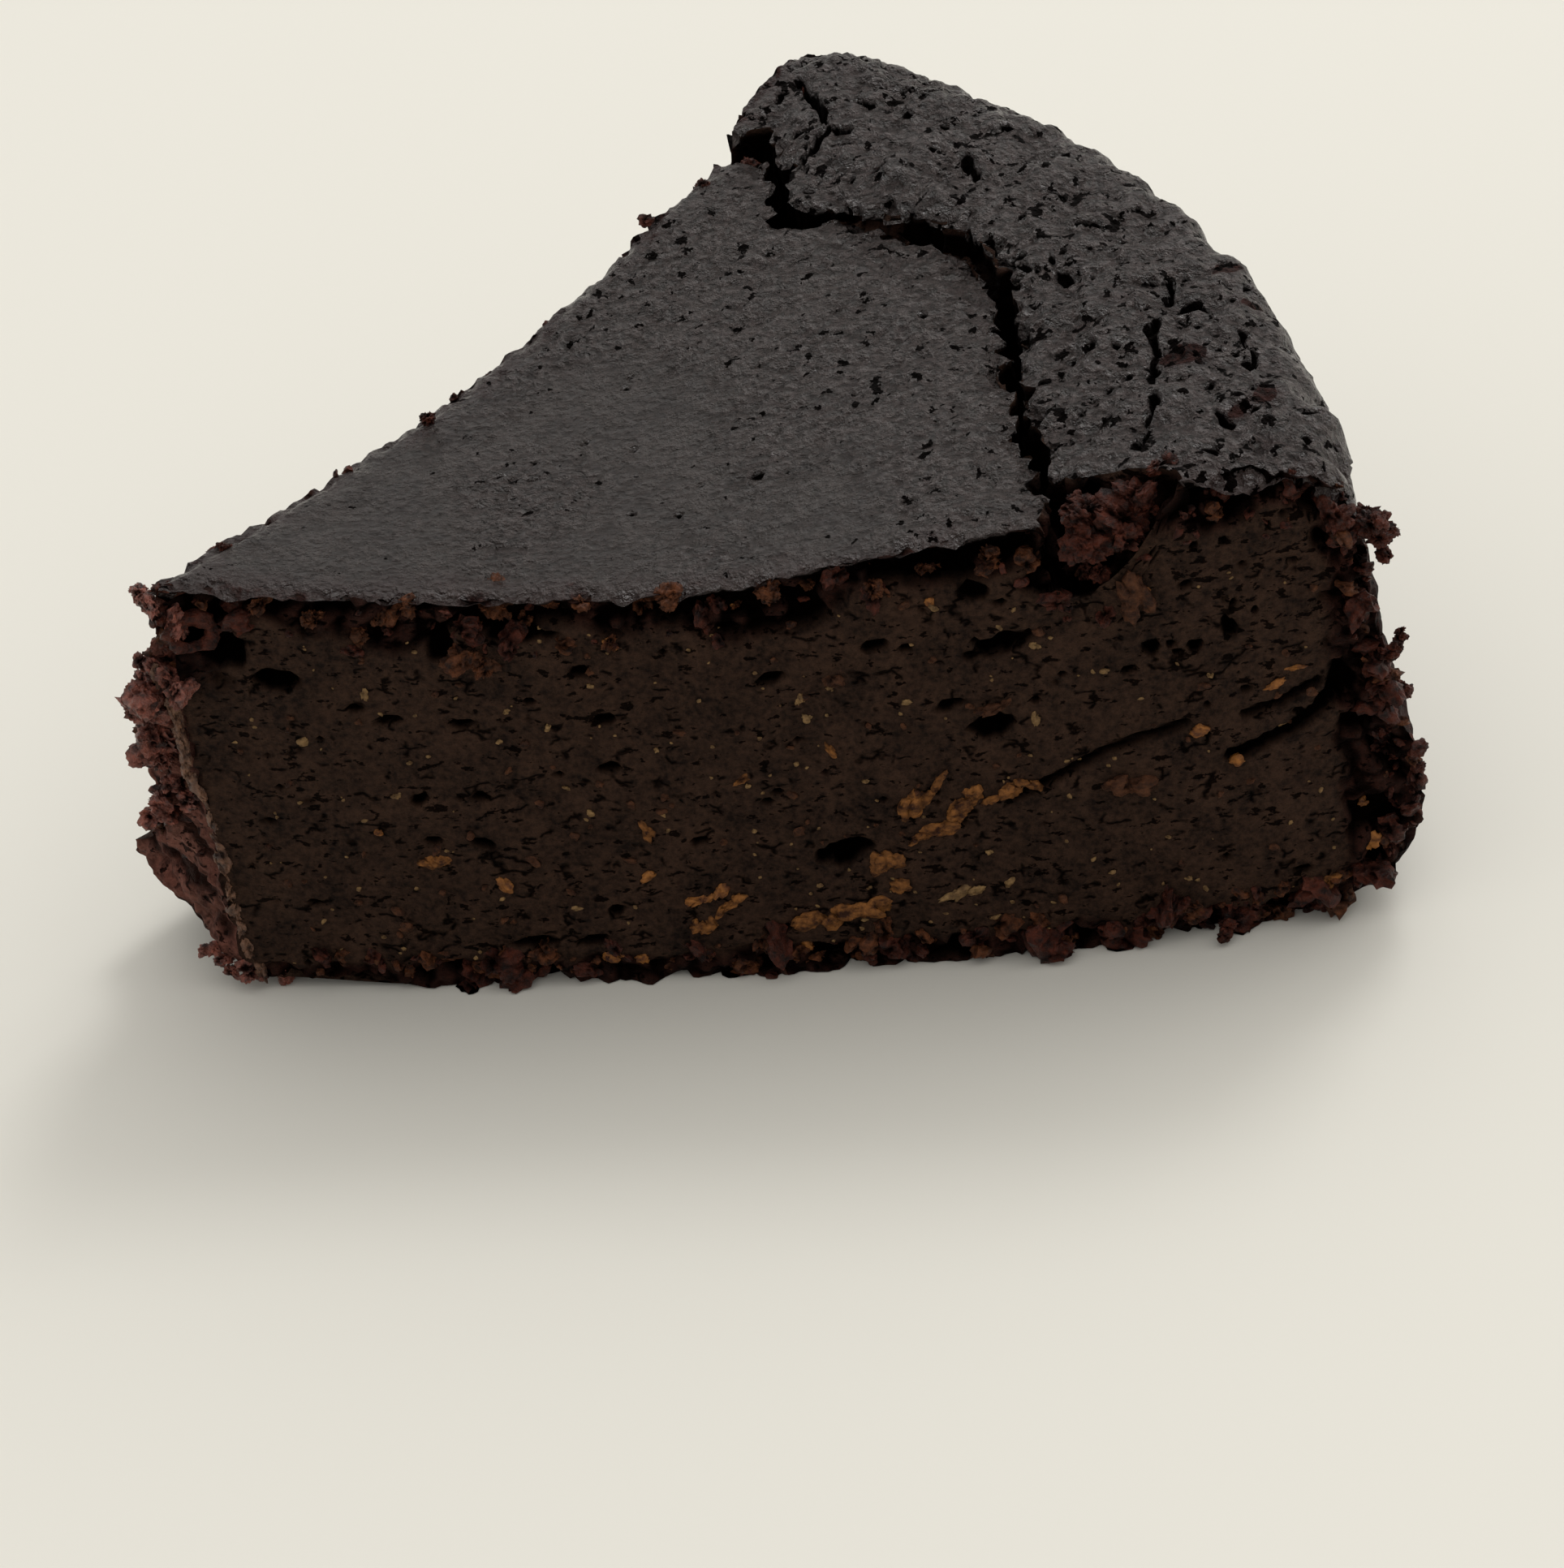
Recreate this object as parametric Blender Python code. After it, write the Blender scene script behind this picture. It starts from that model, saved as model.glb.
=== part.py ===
"""A wedge of dark fruit cake, cut from a nine inch round: one solid, food as it stands."""

import math

import bmesh
import bpy
from mathutils import Vector, noise

# Driving dimensions, in metres and degrees. The knife's tip corner is the slice's own zero.
CUT_ANGLE = 55.0
TIP_PLACE = Vector((-0.0515, -0.0454, 0.0))

# Section from the middle of the round to its edge: (radius, height of the top).
CENTRE_TOP = ((0.0, 0.0480), (0.018, 0.0458), (0.034, 0.0446), (0.050, 0.0444),
              (0.066, 0.0466), (0.078, 0.0481), (0.0845, 0.0484))
RIM_TOP = ((0.0845, 0.0492), (0.0915, 0.0509), (0.0985, 0.0513), (0.1040, 0.0508),
           (0.1078, 0.0490), (0.1098, 0.0450))

# The side that baked against the pan: (height, radius).
SIDE = ((0.0, 0.1035), (0.0012, 0.1078), (0.0032, 0.1108), (0.0062, 0.1130), (0.0100, 0.1142),
        (0.0140, 0.1144), (0.0195, 0.1134), (0.0250, 0.1121), (0.0340, 0.1112), (0.0450, 0.1098))
TOP_RADIUS = SIDE[-1][1]
# Only the outermost crumb follows the side's lean: the power of the radius that it fades by.
SIDE_FADE_POWER = 6

# The knife bowed the near cut outwards, more at its foot.
NEAR_BOW_TOP = 0.0030
NEAR_BOW_FOOT = 0.0040

# The far cut wanders off its straight line: (radius, distance outwards).
FAR_WANDER = ((0.0, 0.0), (0.046, 0.0003), (0.067, -0.0009), (0.085, -0.0010),
              (0.092, 0.0010), (0.109, 0.0022))

# The crack between the sunken middle and the raised rim: (degrees from the near cut, radius).
CRACK_ROUTE = ((0.0, 0.0838), (5.0, 0.0832), (10.0, 0.0814), (17.0, 0.0826), (24.0, 0.0862),
               (31.0, 0.0880), (38.0, 0.0858), (44.0, 0.0822), (49.0, 0.0834), (55.0, 0.0858))
CRACK_HALF_WIDTH = ((0.0, 0.0018), (6.0, 0.0010), (14.0, 0.0011), (31.0, 0.0008),
                    (42.0, 0.0006), (48.0, 0.0016), (51.0, 0.0020), (55.0, 0.0008))
CRACK_DEPTH = 0.0080
# Its section from inner to outer lip, as shares of the half width and of the depth.
CRACK_SECTION = ((-1.0, 0.0), (-0.5, 0.8), (0.0, 1.0), (0.5, 0.7), (1.0, 0.0))
# Under the crack the mesh opens out again, from this share of the height down.
CRACK_GRID_HALF = 0.0045
CRACK_ROOT = 0.62

# Where the crack meets the near cut, the rim's inner side has broken away.
BREAK_REACH = 0.0095
BREAK_DEPTH = 0.0060
BREAK_ANGLE = 5.0

# The torn tip: (height, how far the torn face runs back from the near corner).
TORN_DIRECTION = 133.0
TORN_RUN = ((0.0, 0.0150), (0.0095, 0.0156), (0.0135, 0.0122), (0.0185, 0.0088), (0.0235, 0.0098),
            (0.0300, 0.0084), (0.0355, 0.0066), (0.0405, 0.0014), (0.0480, 0.0008))
TORN_FADE = 0.042
TORN_WAVER = 0.0050
TORN_WAVER_SIZE = Vector((0.35, 0.0110))
# The foot of the tip hangs clear of the base, more at the far side.
LIFT_NEAR = 0.0015
LIFT_FAR = 0.0094
LIFT_FADE = 0.021

# Hollows in the near cut: (distance from the tip, height, half length, half height, depth).
HOLLOWS = ((0.0075, 0.0395, 0.0028, 0.0030, 0.0026), (0.0140, 0.0365, 0.0026, 0.0018, 0.0020),
           (0.0597, 0.0107, 0.0034, 0.0022, 0.0030), (0.0765, 0.0335, 0.0030, 0.0018, 0.0020),
           (0.0850, 0.0405, 0.0048, 0.0028, 0.0034), (0.0735, 0.0280, 0.0026, 0.0016, 0.0016))
# The share of a hollow's size that its floor takes up before the sides rise.
HOLLOW_FLOOR = 0.5

# Relief of the crumb and crust: (most that a surface point moves, size of one lump).
TOP_RELIEF = ((0.0003, 0.0060), (0.0002, 0.0030))
RIM_RELIEF = ((0.0010, 0.0052), (0.0006, 0.0030))
CUT_RELIEF = ((0.0005, 0.0080), (0.0003, 0.0038))
EDGE_RELIEF = ((0.0009, 0.0030),)
SIDE_RELIEF = ((0.0006, 0.0065),)
FLUTE_RELIEF = ((0.0005, 0.0030),)
FLUTE_STRETCH = 0.3
TORN_RELIEF = ((0.0018, 0.0048), (0.0009, 0.0028))
# The crumbly edges of a cut, as shares of its height.
TOP_EDGE = 0.93
FOOT_EDGE = 0.10

# Cells along the radius in the middle, the crack and the rim, then across the cut and up.
CENTRE_CELLS = 27
CRACK_CELLS = 4
RIM_CELLS = 13
ACROSS_CELLS = 27
HEIGHT_CELLS = 17
RADIAL_CELLS = CENTRE_CELLS + CRACK_CELLS + RIM_CELLS

CRUMB_COLOUR = (0.020, 0.011, 0.008, 1.0)
CRUMB_ROUGHNESS = 0.6
# Edges that turn by more than this many degrees shade as sharp.
SHARP_ANGLE = 50.0
# The base is every face that lies lower than this.
BASE_HEIGHT = 0.000001


def smooth_step(value):
    """Ease a value from 0 to 1, held at both ends."""
    value = min(max(value, 0.0), 1.0)
    return value * value * (3.0 - 2.0 * value)


def along(line, place):
    """Read a smooth curve through the points of a line, held at both ends."""
    if place <= line[0][0]:
        return line[0][1]
    if place >= line[-1][0]:
        return line[-1][1]
    slopes = []
    for i in range(len(line)):
        before = line[max(i - 1, 0)]
        after = line[min(i + 1, len(line) - 1)]
        slopes.append((after[1] - before[1]) / (after[0] - before[0]))
    i = max(k for k in range(len(line) - 1) if line[k][0] <= place)
    run = line[i + 1][0] - line[i][0]
    f = (place - line[i][0]) / run
    start = (2 * f ** 3 - 3 * f ** 2 + 1) * line[i][1] + (f ** 3 - 2 * f ** 2 + f) * run * slopes[i]
    end = (3 * f ** 2 - 2 * f ** 3) * line[i + 1][1] + (f ** 3 - f ** 2) * run * slopes[i + 1]
    return start + end


def plan_radius(s, angle, open_share):
    """Radius of a radial station, and how far over the crack it lies, from -1 to 1."""
    middle = along(CRACK_ROUTE, angle)
    inner = along(CRACK_HALF_WIDTH, angle)
    outer = inner + BREAK_REACH * (1.0 - smooth_step(angle / BREAK_ANGLE))
    inner = CRACK_GRID_HALF + (inner - CRACK_GRID_HALF) * open_share
    outer = CRACK_GRID_HALF + (outer - CRACK_GRID_HALF) * open_share
    cell = s * RADIAL_CELLS
    if cell <= CENTRE_CELLS:
        return cell / CENTRE_CELLS * (middle - inner), -1.0
    if cell >= CENTRE_CELLS + CRACK_CELLS:
        part = (cell - CENTRE_CELLS - CRACK_CELLS) / RIM_CELLS
        return middle + outer + part * (TOP_RADIUS - middle - outer), 1.0
    over = 2.0 * (cell - CENTRE_CELLS) / CRACK_CELLS - 1.0
    return middle + over * (outer if over > 0.0 else inner), over


def crust_height(radius, over):
    """Height of the crust above the base, with the crack bridged."""
    if over <= -1.0:
        return along(CENTRE_TOP, radius)
    if over >= 1.0:
        return along(RIM_TOP, radius)
    blend = smooth_step((over + 1.0) / 2.0)
    return (1.0 - blend) * along(CENTRE_TOP, radius) + blend * along(RIM_TOP, radius)


def crack_depth(over, angle):
    """How far the crack, and the break at its near end, go down from the crust."""
    broken = BREAK_DEPTH * (1.0 - smooth_step(angle / BREAK_ANGLE))
    return max(CRACK_DEPTH * along(CRACK_SECTION, over), broken * (1.0 - over * over))


def place_point(s, t, h):
    """Carry a point of the unit cube to the slice: s outwards, t across, h upwards."""
    angle = t * CUT_ANGLE
    open_share = smooth_step((h - CRACK_ROOT) / (1.0 - CRACK_ROOT))
    radius, over = plan_radius(s, angle, open_share)
    fade = 1.0 - smooth_step(radius / LIFT_FADE)
    foot = (LIFT_NEAR + (LIFT_FAR - LIFT_NEAR) * t) * fade
    z = foot + h * (crust_height(radius, over) - foot) - crack_depth(over, angle) * open_share
    radius += (along(SIDE, z) - TOP_RADIUS) * (radius / TOP_RADIUS) ** SIDE_FADE_POWER
    turn = math.radians(angle)
    point = Vector((radius * math.cos(turn), radius * math.sin(turn), z))

    share = 4.0 * s * (1.0 - s)
    near = NEAR_BOW_FOOT + (NEAR_BOW_TOP - NEAR_BOW_FOOT) * h
    point.y -= near * share * (1.0 - t) ** 2
    far_turn = math.radians(CUT_ANGLE)
    far_out = Vector((-math.sin(far_turn), math.cos(far_turn), 0.0))
    point += far_out * along(FAR_WANDER, radius) * t * t

    across, up = t / TORN_WAVER_SIZE.x, z / TORN_WAVER_SIZE.y
    waver = TORN_WAVER * (1.0 - t) * t * 4.0 * noise.noise(Vector((across, up, 0.0)))
    torn = along(TORN_RUN, z + waver) * t * (1.0 - smooth_step(radius / TORN_FADE))
    torn_turn = math.radians(TORN_DIRECTION)
    return point + Vector((math.cos(torn_turn), math.sin(torn_turn), 0.0)) * torn


def lumps(point, octaves):
    """Rounded lumps of each size in turn, added up."""
    return sum(most * noise.noise(point / size) for most, size in octaves)


def hollow_depth(point):
    """How far the torn pockets of the near cut sink at a point."""
    depth = 0.0
    for x, z, half_length, half_height, most in HOLLOWS:
        apart = math.hypot((point.x - x) / half_length, (point.z - z) / half_height)
        depth = max(depth, most * (1.0 - smooth_step(apart - HOLLOW_FLOOR)))
    return depth


def relief(point, s, t, h):
    """Height of the crumb's or crust's relief at a surface point."""
    on_rim = s * RADIAL_CELLS >= CENTRE_CELLS + CRACK_CELLS
    amount = 0.0
    if h == 1.0:
        amount += lumps(point, RIM_RELIEF if on_rim else TOP_RELIEF)
    if t in (0.0, 1.0):
        amount += lumps(point, CUT_RELIEF)
        if h > TOP_EDGE or h < FOOT_EDGE:
            amount += lumps(point, EDGE_RELIEF)
    if t == 0.0:
        amount -= hollow_depth(point)
    if s == 1.0:
        flute = Vector((point.x, point.y, point.z * FLUTE_STRETCH))
        amount += lumps(flute, FLUTE_RELIEF) + lumps(point, SIDE_RELIEF)
    if s == 0.0:
        amount += lumps(point, TORN_RELIEF)
    return amount


def material(name, colour, roughness):
    """A plain material of one colour."""
    made = bpy.data.materials.new(name)
    made.use_nodes = True
    shader = made.node_tree.nodes["Principled BSDF"]
    shader.inputs["Base Color"].default_value = colour
    shader.inputs["Roughness"].default_value = roughness
    return made


def gridded_cube():
    """A unit cube from 0 to 1, cut into cells along each of its axes."""
    mesh = bmesh.new()
    half = 0.5
    bmesh.ops.create_cube(mesh, size=2.0 * half)
    bmesh.ops.translate(mesh, verts=mesh.verts, vec=(half, half, half))
    for axis, cells in enumerate((RADIAL_CELLS, ACROSS_CELLS, HEIGHT_CELLS)):
        lines = [e for e in mesh.edges if abs(e.verts[0].co[axis] - e.verts[1].co[axis]) > half]
        bmesh.ops.subdivide_edges(mesh, edges=lines, cuts=cells - 1, use_grid_fill=True)
    return mesh


def cake_slice():
    """The whole slice as one closed solid, standing on its base."""
    mesh = gridded_cube()
    stations = []
    for vert in mesh.verts:
        stations.append(tuple(round(c, 5) for c in vert.co))
        vert.co = place_point(*stations[-1])
    mesh.normal_update()
    moves = []
    for vert, (s, t, h) in zip(mesh.verts, stations):
        move = vert.normal * relief(vert.co, s, t, h)
        if h == 0.0:
            move.z = 0.0
        moves.append(move)
    for vert, move in zip(mesh.verts, moves):
        vert.co += move + TIP_PLACE
        vert.co.z = max(vert.co.z, 0.0)
    base = [f for f in mesh.faces if all(v.co.z < BASE_HEIGHT for v in f.verts)]
    bmesh.ops.dissolve_faces(mesh, faces=base, use_verts=False)
    bmesh.ops.triangulate(mesh, faces=mesh.faces)

    data = bpy.data.meshes.new("cake_slice")
    mesh.to_mesh(data)
    mesh.free()
    data.shade_smooth()
    data.set_sharp_from_angle(angle=math.radians(SHARP_ANGLE))
    data.materials.append(material("dark_crumb", CRUMB_COLOUR, CRUMB_ROUGHNESS))
    made = bpy.data.objects.new("cake_slice", data)
    return made


def main():
    """Clear the scene and build the slice in its own collection."""
    for old in list(bpy.data.objects):
        bpy.data.objects.remove(old)
    cake = bpy.data.collections.new("black_cake_slice")
    bpy.context.scene.collection.children.link(cake)
    cake.objects.link(cake_slice())


main()
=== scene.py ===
"""Looks of the black cake slice: crust, crumb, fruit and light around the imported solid."""

import math
import random

import bmesh
import bpy
from mathutils import Matrix, Vector, noise
from mathutils.bvhtree import BVHTree
from mathutils.geometry import intersect_point_line


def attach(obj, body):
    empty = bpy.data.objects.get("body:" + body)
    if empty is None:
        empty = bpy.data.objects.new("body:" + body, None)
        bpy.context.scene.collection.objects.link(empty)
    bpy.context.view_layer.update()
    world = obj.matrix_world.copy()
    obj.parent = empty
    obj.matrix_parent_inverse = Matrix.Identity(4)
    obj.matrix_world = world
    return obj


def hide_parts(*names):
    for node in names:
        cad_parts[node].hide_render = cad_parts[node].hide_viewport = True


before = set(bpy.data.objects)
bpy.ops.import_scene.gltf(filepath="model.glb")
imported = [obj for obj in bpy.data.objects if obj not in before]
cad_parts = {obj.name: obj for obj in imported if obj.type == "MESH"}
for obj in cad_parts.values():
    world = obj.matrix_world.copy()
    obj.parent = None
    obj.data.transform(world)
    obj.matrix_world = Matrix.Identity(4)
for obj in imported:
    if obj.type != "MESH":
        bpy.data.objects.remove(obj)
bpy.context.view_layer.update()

# Shapes are modelled in millimetres, with the near cut's tip corner at zero, then carried to the part.
MM = 0.001
TIP_PLACE = Vector((-51.5, -45.4, 0.0))
CUT_ANGLE = 55.0
SEED = 7
DRAWS = random.Random(SEED)

# Section of the top, middle and rim: (radius, height).
CENTRE_TOP = ((0.0, 48.0), (18.0, 45.8), (34.0, 44.6), (50.0, 44.4), (66.0, 46.6), (78.0, 48.1),
              (84.5, 48.4))
RIM_TOP = ((84.5, 49.2), (91.5, 50.9), (98.5, 51.3), (104.0, 50.8), (107.8, 49.0), (109.8, 45.0))
# The baked side: (height, radius).
SIDE = ((0.0, 103.5), (1.2, 107.8), (3.2, 110.8), (6.2, 113.0), (10.0, 114.2), (14.0, 114.4),
        (19.5, 113.4), (25.0, 112.1), (34.0, 111.2), (45.0, 109.8))
TOP_RADIUS = SIDE[-1][1]
SIDE_FADE_POWER = 6
# How far the near cut bows out, and how the far cut wanders: (radius, outwards).
NEAR_BOW_TOP = 3.0
NEAR_BOW_FOOT = 4.0
FAR_WANDER = ((0.0, 0.0), (46.0, 0.3), (67.0, -0.9), (85.0, -1.0), (92.0, 1.0), (109.0, 2.2))

# The main crack: (degrees from the near cut, radius) and (degrees, half width).
CRACK_ROUTE = ((0.0, 83.8), (1.9, 83.2), (4.0, 82.6), (7.5, 82.2), (10.9, 81.9), (15.0, 82.1),
               (17.7, 82.5), (19.7, 84.0), (22.0, 84.8), (24.3, 86.8), (27.5, 87.8), (30.8, 88.0),
               (32.8, 88.1), (34.7, 87.4), (36.5, 86.4), (39.0, 84.8), (41.5, 83.2), (43.5, 80.6),
               (45.6, 80.4), (47.5, 83.0), (49.6, 85.8), (51.8, 87.0), (55.0, 86.4))
CRACK_HALF_WIDTH = ((0.0, 1.6), (4.0, 1.0), (7.5, 0.75), (10.9, 0.6), (15.0, 0.5), (18.0, 0.45),
                    (22.0, 0.65), (24.3, 0.6), (27.5, 0.3), (32.0, 0.25), (35.5, 0.4), (38.0, 0.2),
                    (41.0, 0.15), (43.5, 0.8), (45.6, 1.2), (49.6, 1.3), (52.0, 1.1), (55.0, 0.7))
CRACK_DEPTH = 8.0
CRACK_SECTION = ((-1.0, 0.0), (-0.55, 0.75), (0.0, 1.0), (0.55, 0.75), (1.0, 0.0))
CRACK_LEAST = 0.15
CRACK_JAG = 1.2
# The crack's columns keep this half width below the crack's root, given as a share of the height.
CRACK_GRID_HALF = 4.5
CRACK_ROOT = 0.62
# Where the crack meets the near cut a piece is broken off: its reach, its depth and its angle.
BREAK_REACH = 9.5
BREAK_DEPTH = 6.0
BREAK_ANGLE = 5.0

# The torn tip: (height, how far the torn face runs back from the near corner).
TORN_DIRECTION = 133.0
TORN_RUN = ((0.0, 15.0), (9.5, 15.6), (13.5, 12.2), (18.5, 8.8), (23.5, 9.8), (30.0, 8.4),
            (35.5, 6.6), (40.5, 1.4), (48.0, 0.8))
TORN_FADE = 42.0
TORN_WAVER = 5.0
TORN_WAVER_SIZE = Vector((0.35, 11.0))
# How high the tip's foot hangs at the near and at the far cut, and the radius where that ends.
LIFT_NEAR = 1.5
LIFT_FAR = 9.4
LIFT_FADE = 21.0

# Cells of the grid cube, and the shares of the radius where the crack's columns start and end.
RADIAL_CELLS, ACROSS_CELLS, HEIGHT_CELLS = 120, 70, 45
CENTRE_SHARE, RIM_SHARE = 0.60, 0.70
# A face centre past these shares of the grid cube lies on its outer or its inner end.
OUTER_END, INNER_END = 0.9999, 0.0001
# Share of the side's height above which its faces have the crust's material.
CRUST_FOOT = 0.85
# Share of the side's height at which the crust itself ends, raggedly.
CRUST_END, CRUST_END_FADE = 0.95, 0.05
# A face whose points are all lower than this is part of the flat underside.
FLAT = 1e-4
# Materials of the body, by slot.
CRUST_SLOT, CUT_SLOT, SIDE_SLOT, TORN_SLOT = 0, 1, 2, 3

# The crust beside the main crack is ragged up to the first distance, and fades over the second.
LIP_REACH, LIP_FADE = 0.7, 1.7
RAGGED_REACH, RAGGED_FADE = 1.8, 1.6
# The smooth middle turns rough about this radius, over this run.
PATCH_RADIUS, PATCH_RUN = 52.0, 45.0
# Holes of the rim are denser, and red patches start, past these distances along the near cut.
DENSE_START, DENSE_RUN = 72.0, 22.0
RED_START, RED_RUN = 84.0, 12.0
# Radii where the rim rolls over the near cut, and where it reddens towards the side.
ROLL_RADIUS, ROLL_RUN, ROLL_ANGLE, ROLL_DEPTH = 95.0, 4.0, 1.6, 1.6
RED_RADIUS, RED_RADIUS_RUN = 107.5, 2.5
# The cut is more pored past this radius and above this height.
PORED_RADIUS, PORED_HEIGHT, PORED_RUN = 86.0, 22.0, 14.0
# Crumbly bands of a cut: their depth below the crust, height of the foot, and radius of the ends.
TOP_BAND, FOOT_BAND, END_BAND, TIP_BAND = 3.4, 2.2, 106.0, 3.0
TIP_BAND_HEIGHT, TIP_BAND_RISE = 34.0, 6.0

# Finer cracks in the crust, in plan: (half width, depth, points).
RIM_CRACKS = (
    (0.56, 3.0, ((56.5, 81.2), (58.9, 75.7), (60.6, 71.5), (61.5, 68.6), (60.0, 66.4), (58.4, 64.4))),
    (0.43, 2.0, ((61.5, 68.6), (63.6, 67.4))),
    (0.50, 1.8, ((66.6, 75.6), (69.5, 75.0), (72.4, 73.5))),
    (0.43, 1.6, ((64.0, 73.0), (65.6, 72.1))),
    (0.50, 2.0, ((74.5, 61.1), (75.4, 58.5), (76.4, 56.3))),
    (0.50, 1.8, ((81.4, 58.3), (83.3, 56.9), (85.1, 57.8))),
    (0.43, 1.6, ((83.4, 51.3), (84.7, 50.2))),
    (0.50, 1.6, ((86.4, 44.1), (88.4, 44.2))),
    (0.50, 2.0, ((83.0, 39.2), (83.8, 37.5), (85.0, 35.5))),
    (0.81, 2.4, ((95.5, 27.4), (97.1, 29.0), (98.1, 26.5))),
    (0.50, 2.0, ((92.6, 25.8), (92.9, 20.5), (92.2, 15.7), (92.6, 12.0), (91.7, 8.9), (91.0, 4.3))),
    (0.50, 1.8, ((101.0, 22.9), (102.2, 18.4), (101.6, 12.8))),
    (0.43, 1.8, ((94.2, 33.5), (95.2, 31.4), (94.6, 29.6))),
    (0.43, 1.6, ((98.0, 8.5), (99.8, 7.0))),
)
# Pinholes in the smooth middle, in plan: (x, y, radius).
PINHOLES = ((30.4, 18.7, 0.55), (55.1, 14.2, 0.7), (41.7, 32.3, 0.4), (41.9, 34.0, 0.3),
            (56.0, 56.1, 0.6), (47.9, 10.1, 0.4), (49.7, 14.2, 0.35), (38.2, 23.9, 0.35),
            (43.0, 21.9, 0.3), (31.6, 14.6, 0.3), (28.8, 13.8, 0.3), (43.2, 11.0, 0.35))

# Torn hollows of the near cut: (along, up, half length, half height, tilt, depth).
CAVITIES = (
    (60.2, 14.0, 2.6, 1.2, 16.0, 3.6), (76.9, 35.9, 2.9, 1.0, 18.0, 2.6),
    (65.3, 37.0, 1.3, 0.6, 8.0, 1.6), (90.4, 34.0, 1.0, 0.8, 0.0, 1.8),
    (75.3, 27.1, 2.0, 1.2, 10.0, 2.2), (71.9, 29.9, 1.4, 0.5, 15.0, 1.4),
    (33.2, 40.5, 3.2, 0.6, 2.0, 1.8), (25.6, 39.8, 1.2, 1.6, 0.0, 2.0),
    (39.6, 30.7, 1.1, 0.6, 0.0, 1.4), (39.2, 25.3, 1.1, 0.4, 0.0, 1.2),
    (26.7, 22.6, 1.0, 0.5, 0.0, 1.3), (21.0, 22.7, 1.0, 0.5, 20.0, 1.3),
    (26.1, 17.2, 1.3, 0.6, -20.0, 1.5), (21.2, 17.7, 0.9, 0.5, 0.0, 1.2),
    (19.3, 31.8, 1.6, 0.5, 5.0, 0.9), (55.6, 34.3, 1.2, 0.5, 12.0, 1.3),
    (38.0, 36.2, 1.0, 0.5, 10.0, 1.2), (37.7, 8.6, 1.0, 0.5, 30.0, 1.2),
    (29.4, 5.1, 2.4, 0.6, 4.0, 1.6), (34.8, 5.1, 1.6, 0.5, 4.0, 1.4),
    (53.0, 5.4, 1.4, 0.6, 10.0, 1.4), (5.1, 40.7, 2.4, 1.9, -25.0, 3.2),
    (9.6, 36.9, 2.2, 1.1, -8.0, 2.4), (82.4, 42.6, 3.0, 1.8, 10.0, 2.8),
    (75.0, 42.0, 1.4, 0.8, 10.0, 1.6), (94.5, 33.5, 0.9, 0.6, 0.0, 1.4),
    (97.8, 34.8, 0.8, 0.9, 0.0, 1.4), (106.5, 25.6, 1.4, 0.9, 30.0, 2.2),
)
# No hollow reaches further than this from its middle.
CAVITY_REACH = 6.0
# Creases that the knife dragged into the near cut: (half width, depth, points).
CREASES = (
    (0.6, 0.9, ((76.2, 18.6), (80.5, 20.4), (85.7, 23.0), (93.1, 24.9))),
    (0.8, 1.4, ((97.0, 20.6), (99.3, 21.3), (103.0, 22.8), (107.0, 25.4))),
    (0.6, 0.9, ((98.5, 25.0), (102.0, 25.9), (105.5, 27.4))),
)


def smooth_step(value):
    """Ease a value from 0 to 1, held at both ends."""
    value = min(max(value, 0.0), 1.0)
    return value * value * (3.0 - 2.0 * value)


def along(line, place):
    """Read a smooth curve through the points of a line, held at both ends."""
    if place <= line[0][0]:
        return line[0][1]
    if place >= line[-1][0]:
        return line[-1][1]
    i = 0
    while line[i + 1][0] <= place:
        i += 1
    (x0, y0), (x1, y1) = line[i], line[i + 1]
    run = x1 - x0
    first, last = line[max(i - 1, 0)], line[min(i + 2, len(line) - 1)]
    slope0 = (y1 - first[1]) / (x1 - first[0])
    slope1 = (last[1] - y0) / (last[0] - x0)
    f = (place - x0) / run
    start = (2 * f ** 3 - 3 * f ** 2 + 1) * y0 + (f ** 3 - 2 * f ** 2 + f) * run * slope0
    return start + (3 * f ** 2 - 2 * f ** 3) * y1 + (f ** 3 - f ** 2) * run * slope1


def ripple(x, y, z, size):
    """Smooth noise, about -1 to 1, with lumps of the given size. On a flat pattern z picks its sheet."""
    return noise.noise(Vector((x, y, z)) / size)


def clump(point, size):
    """Rounded crumbs packed against each other, about -0.5 to 0.5."""
    return 0.5 - noise.voronoi(point / size)[0][0]


def crack_edge(arc, half, sheet, long_size, short_size):
    """How far one ragged edge of the main crack lies from the crack's middle."""
    wander = half * (0.9 + 1.9 * ripple(arc, sheet, 0.0, long_size))
    return max(wander + 0.6 * ripple(arc, sheet, 0.0, short_size), CRACK_LEAST)


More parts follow.
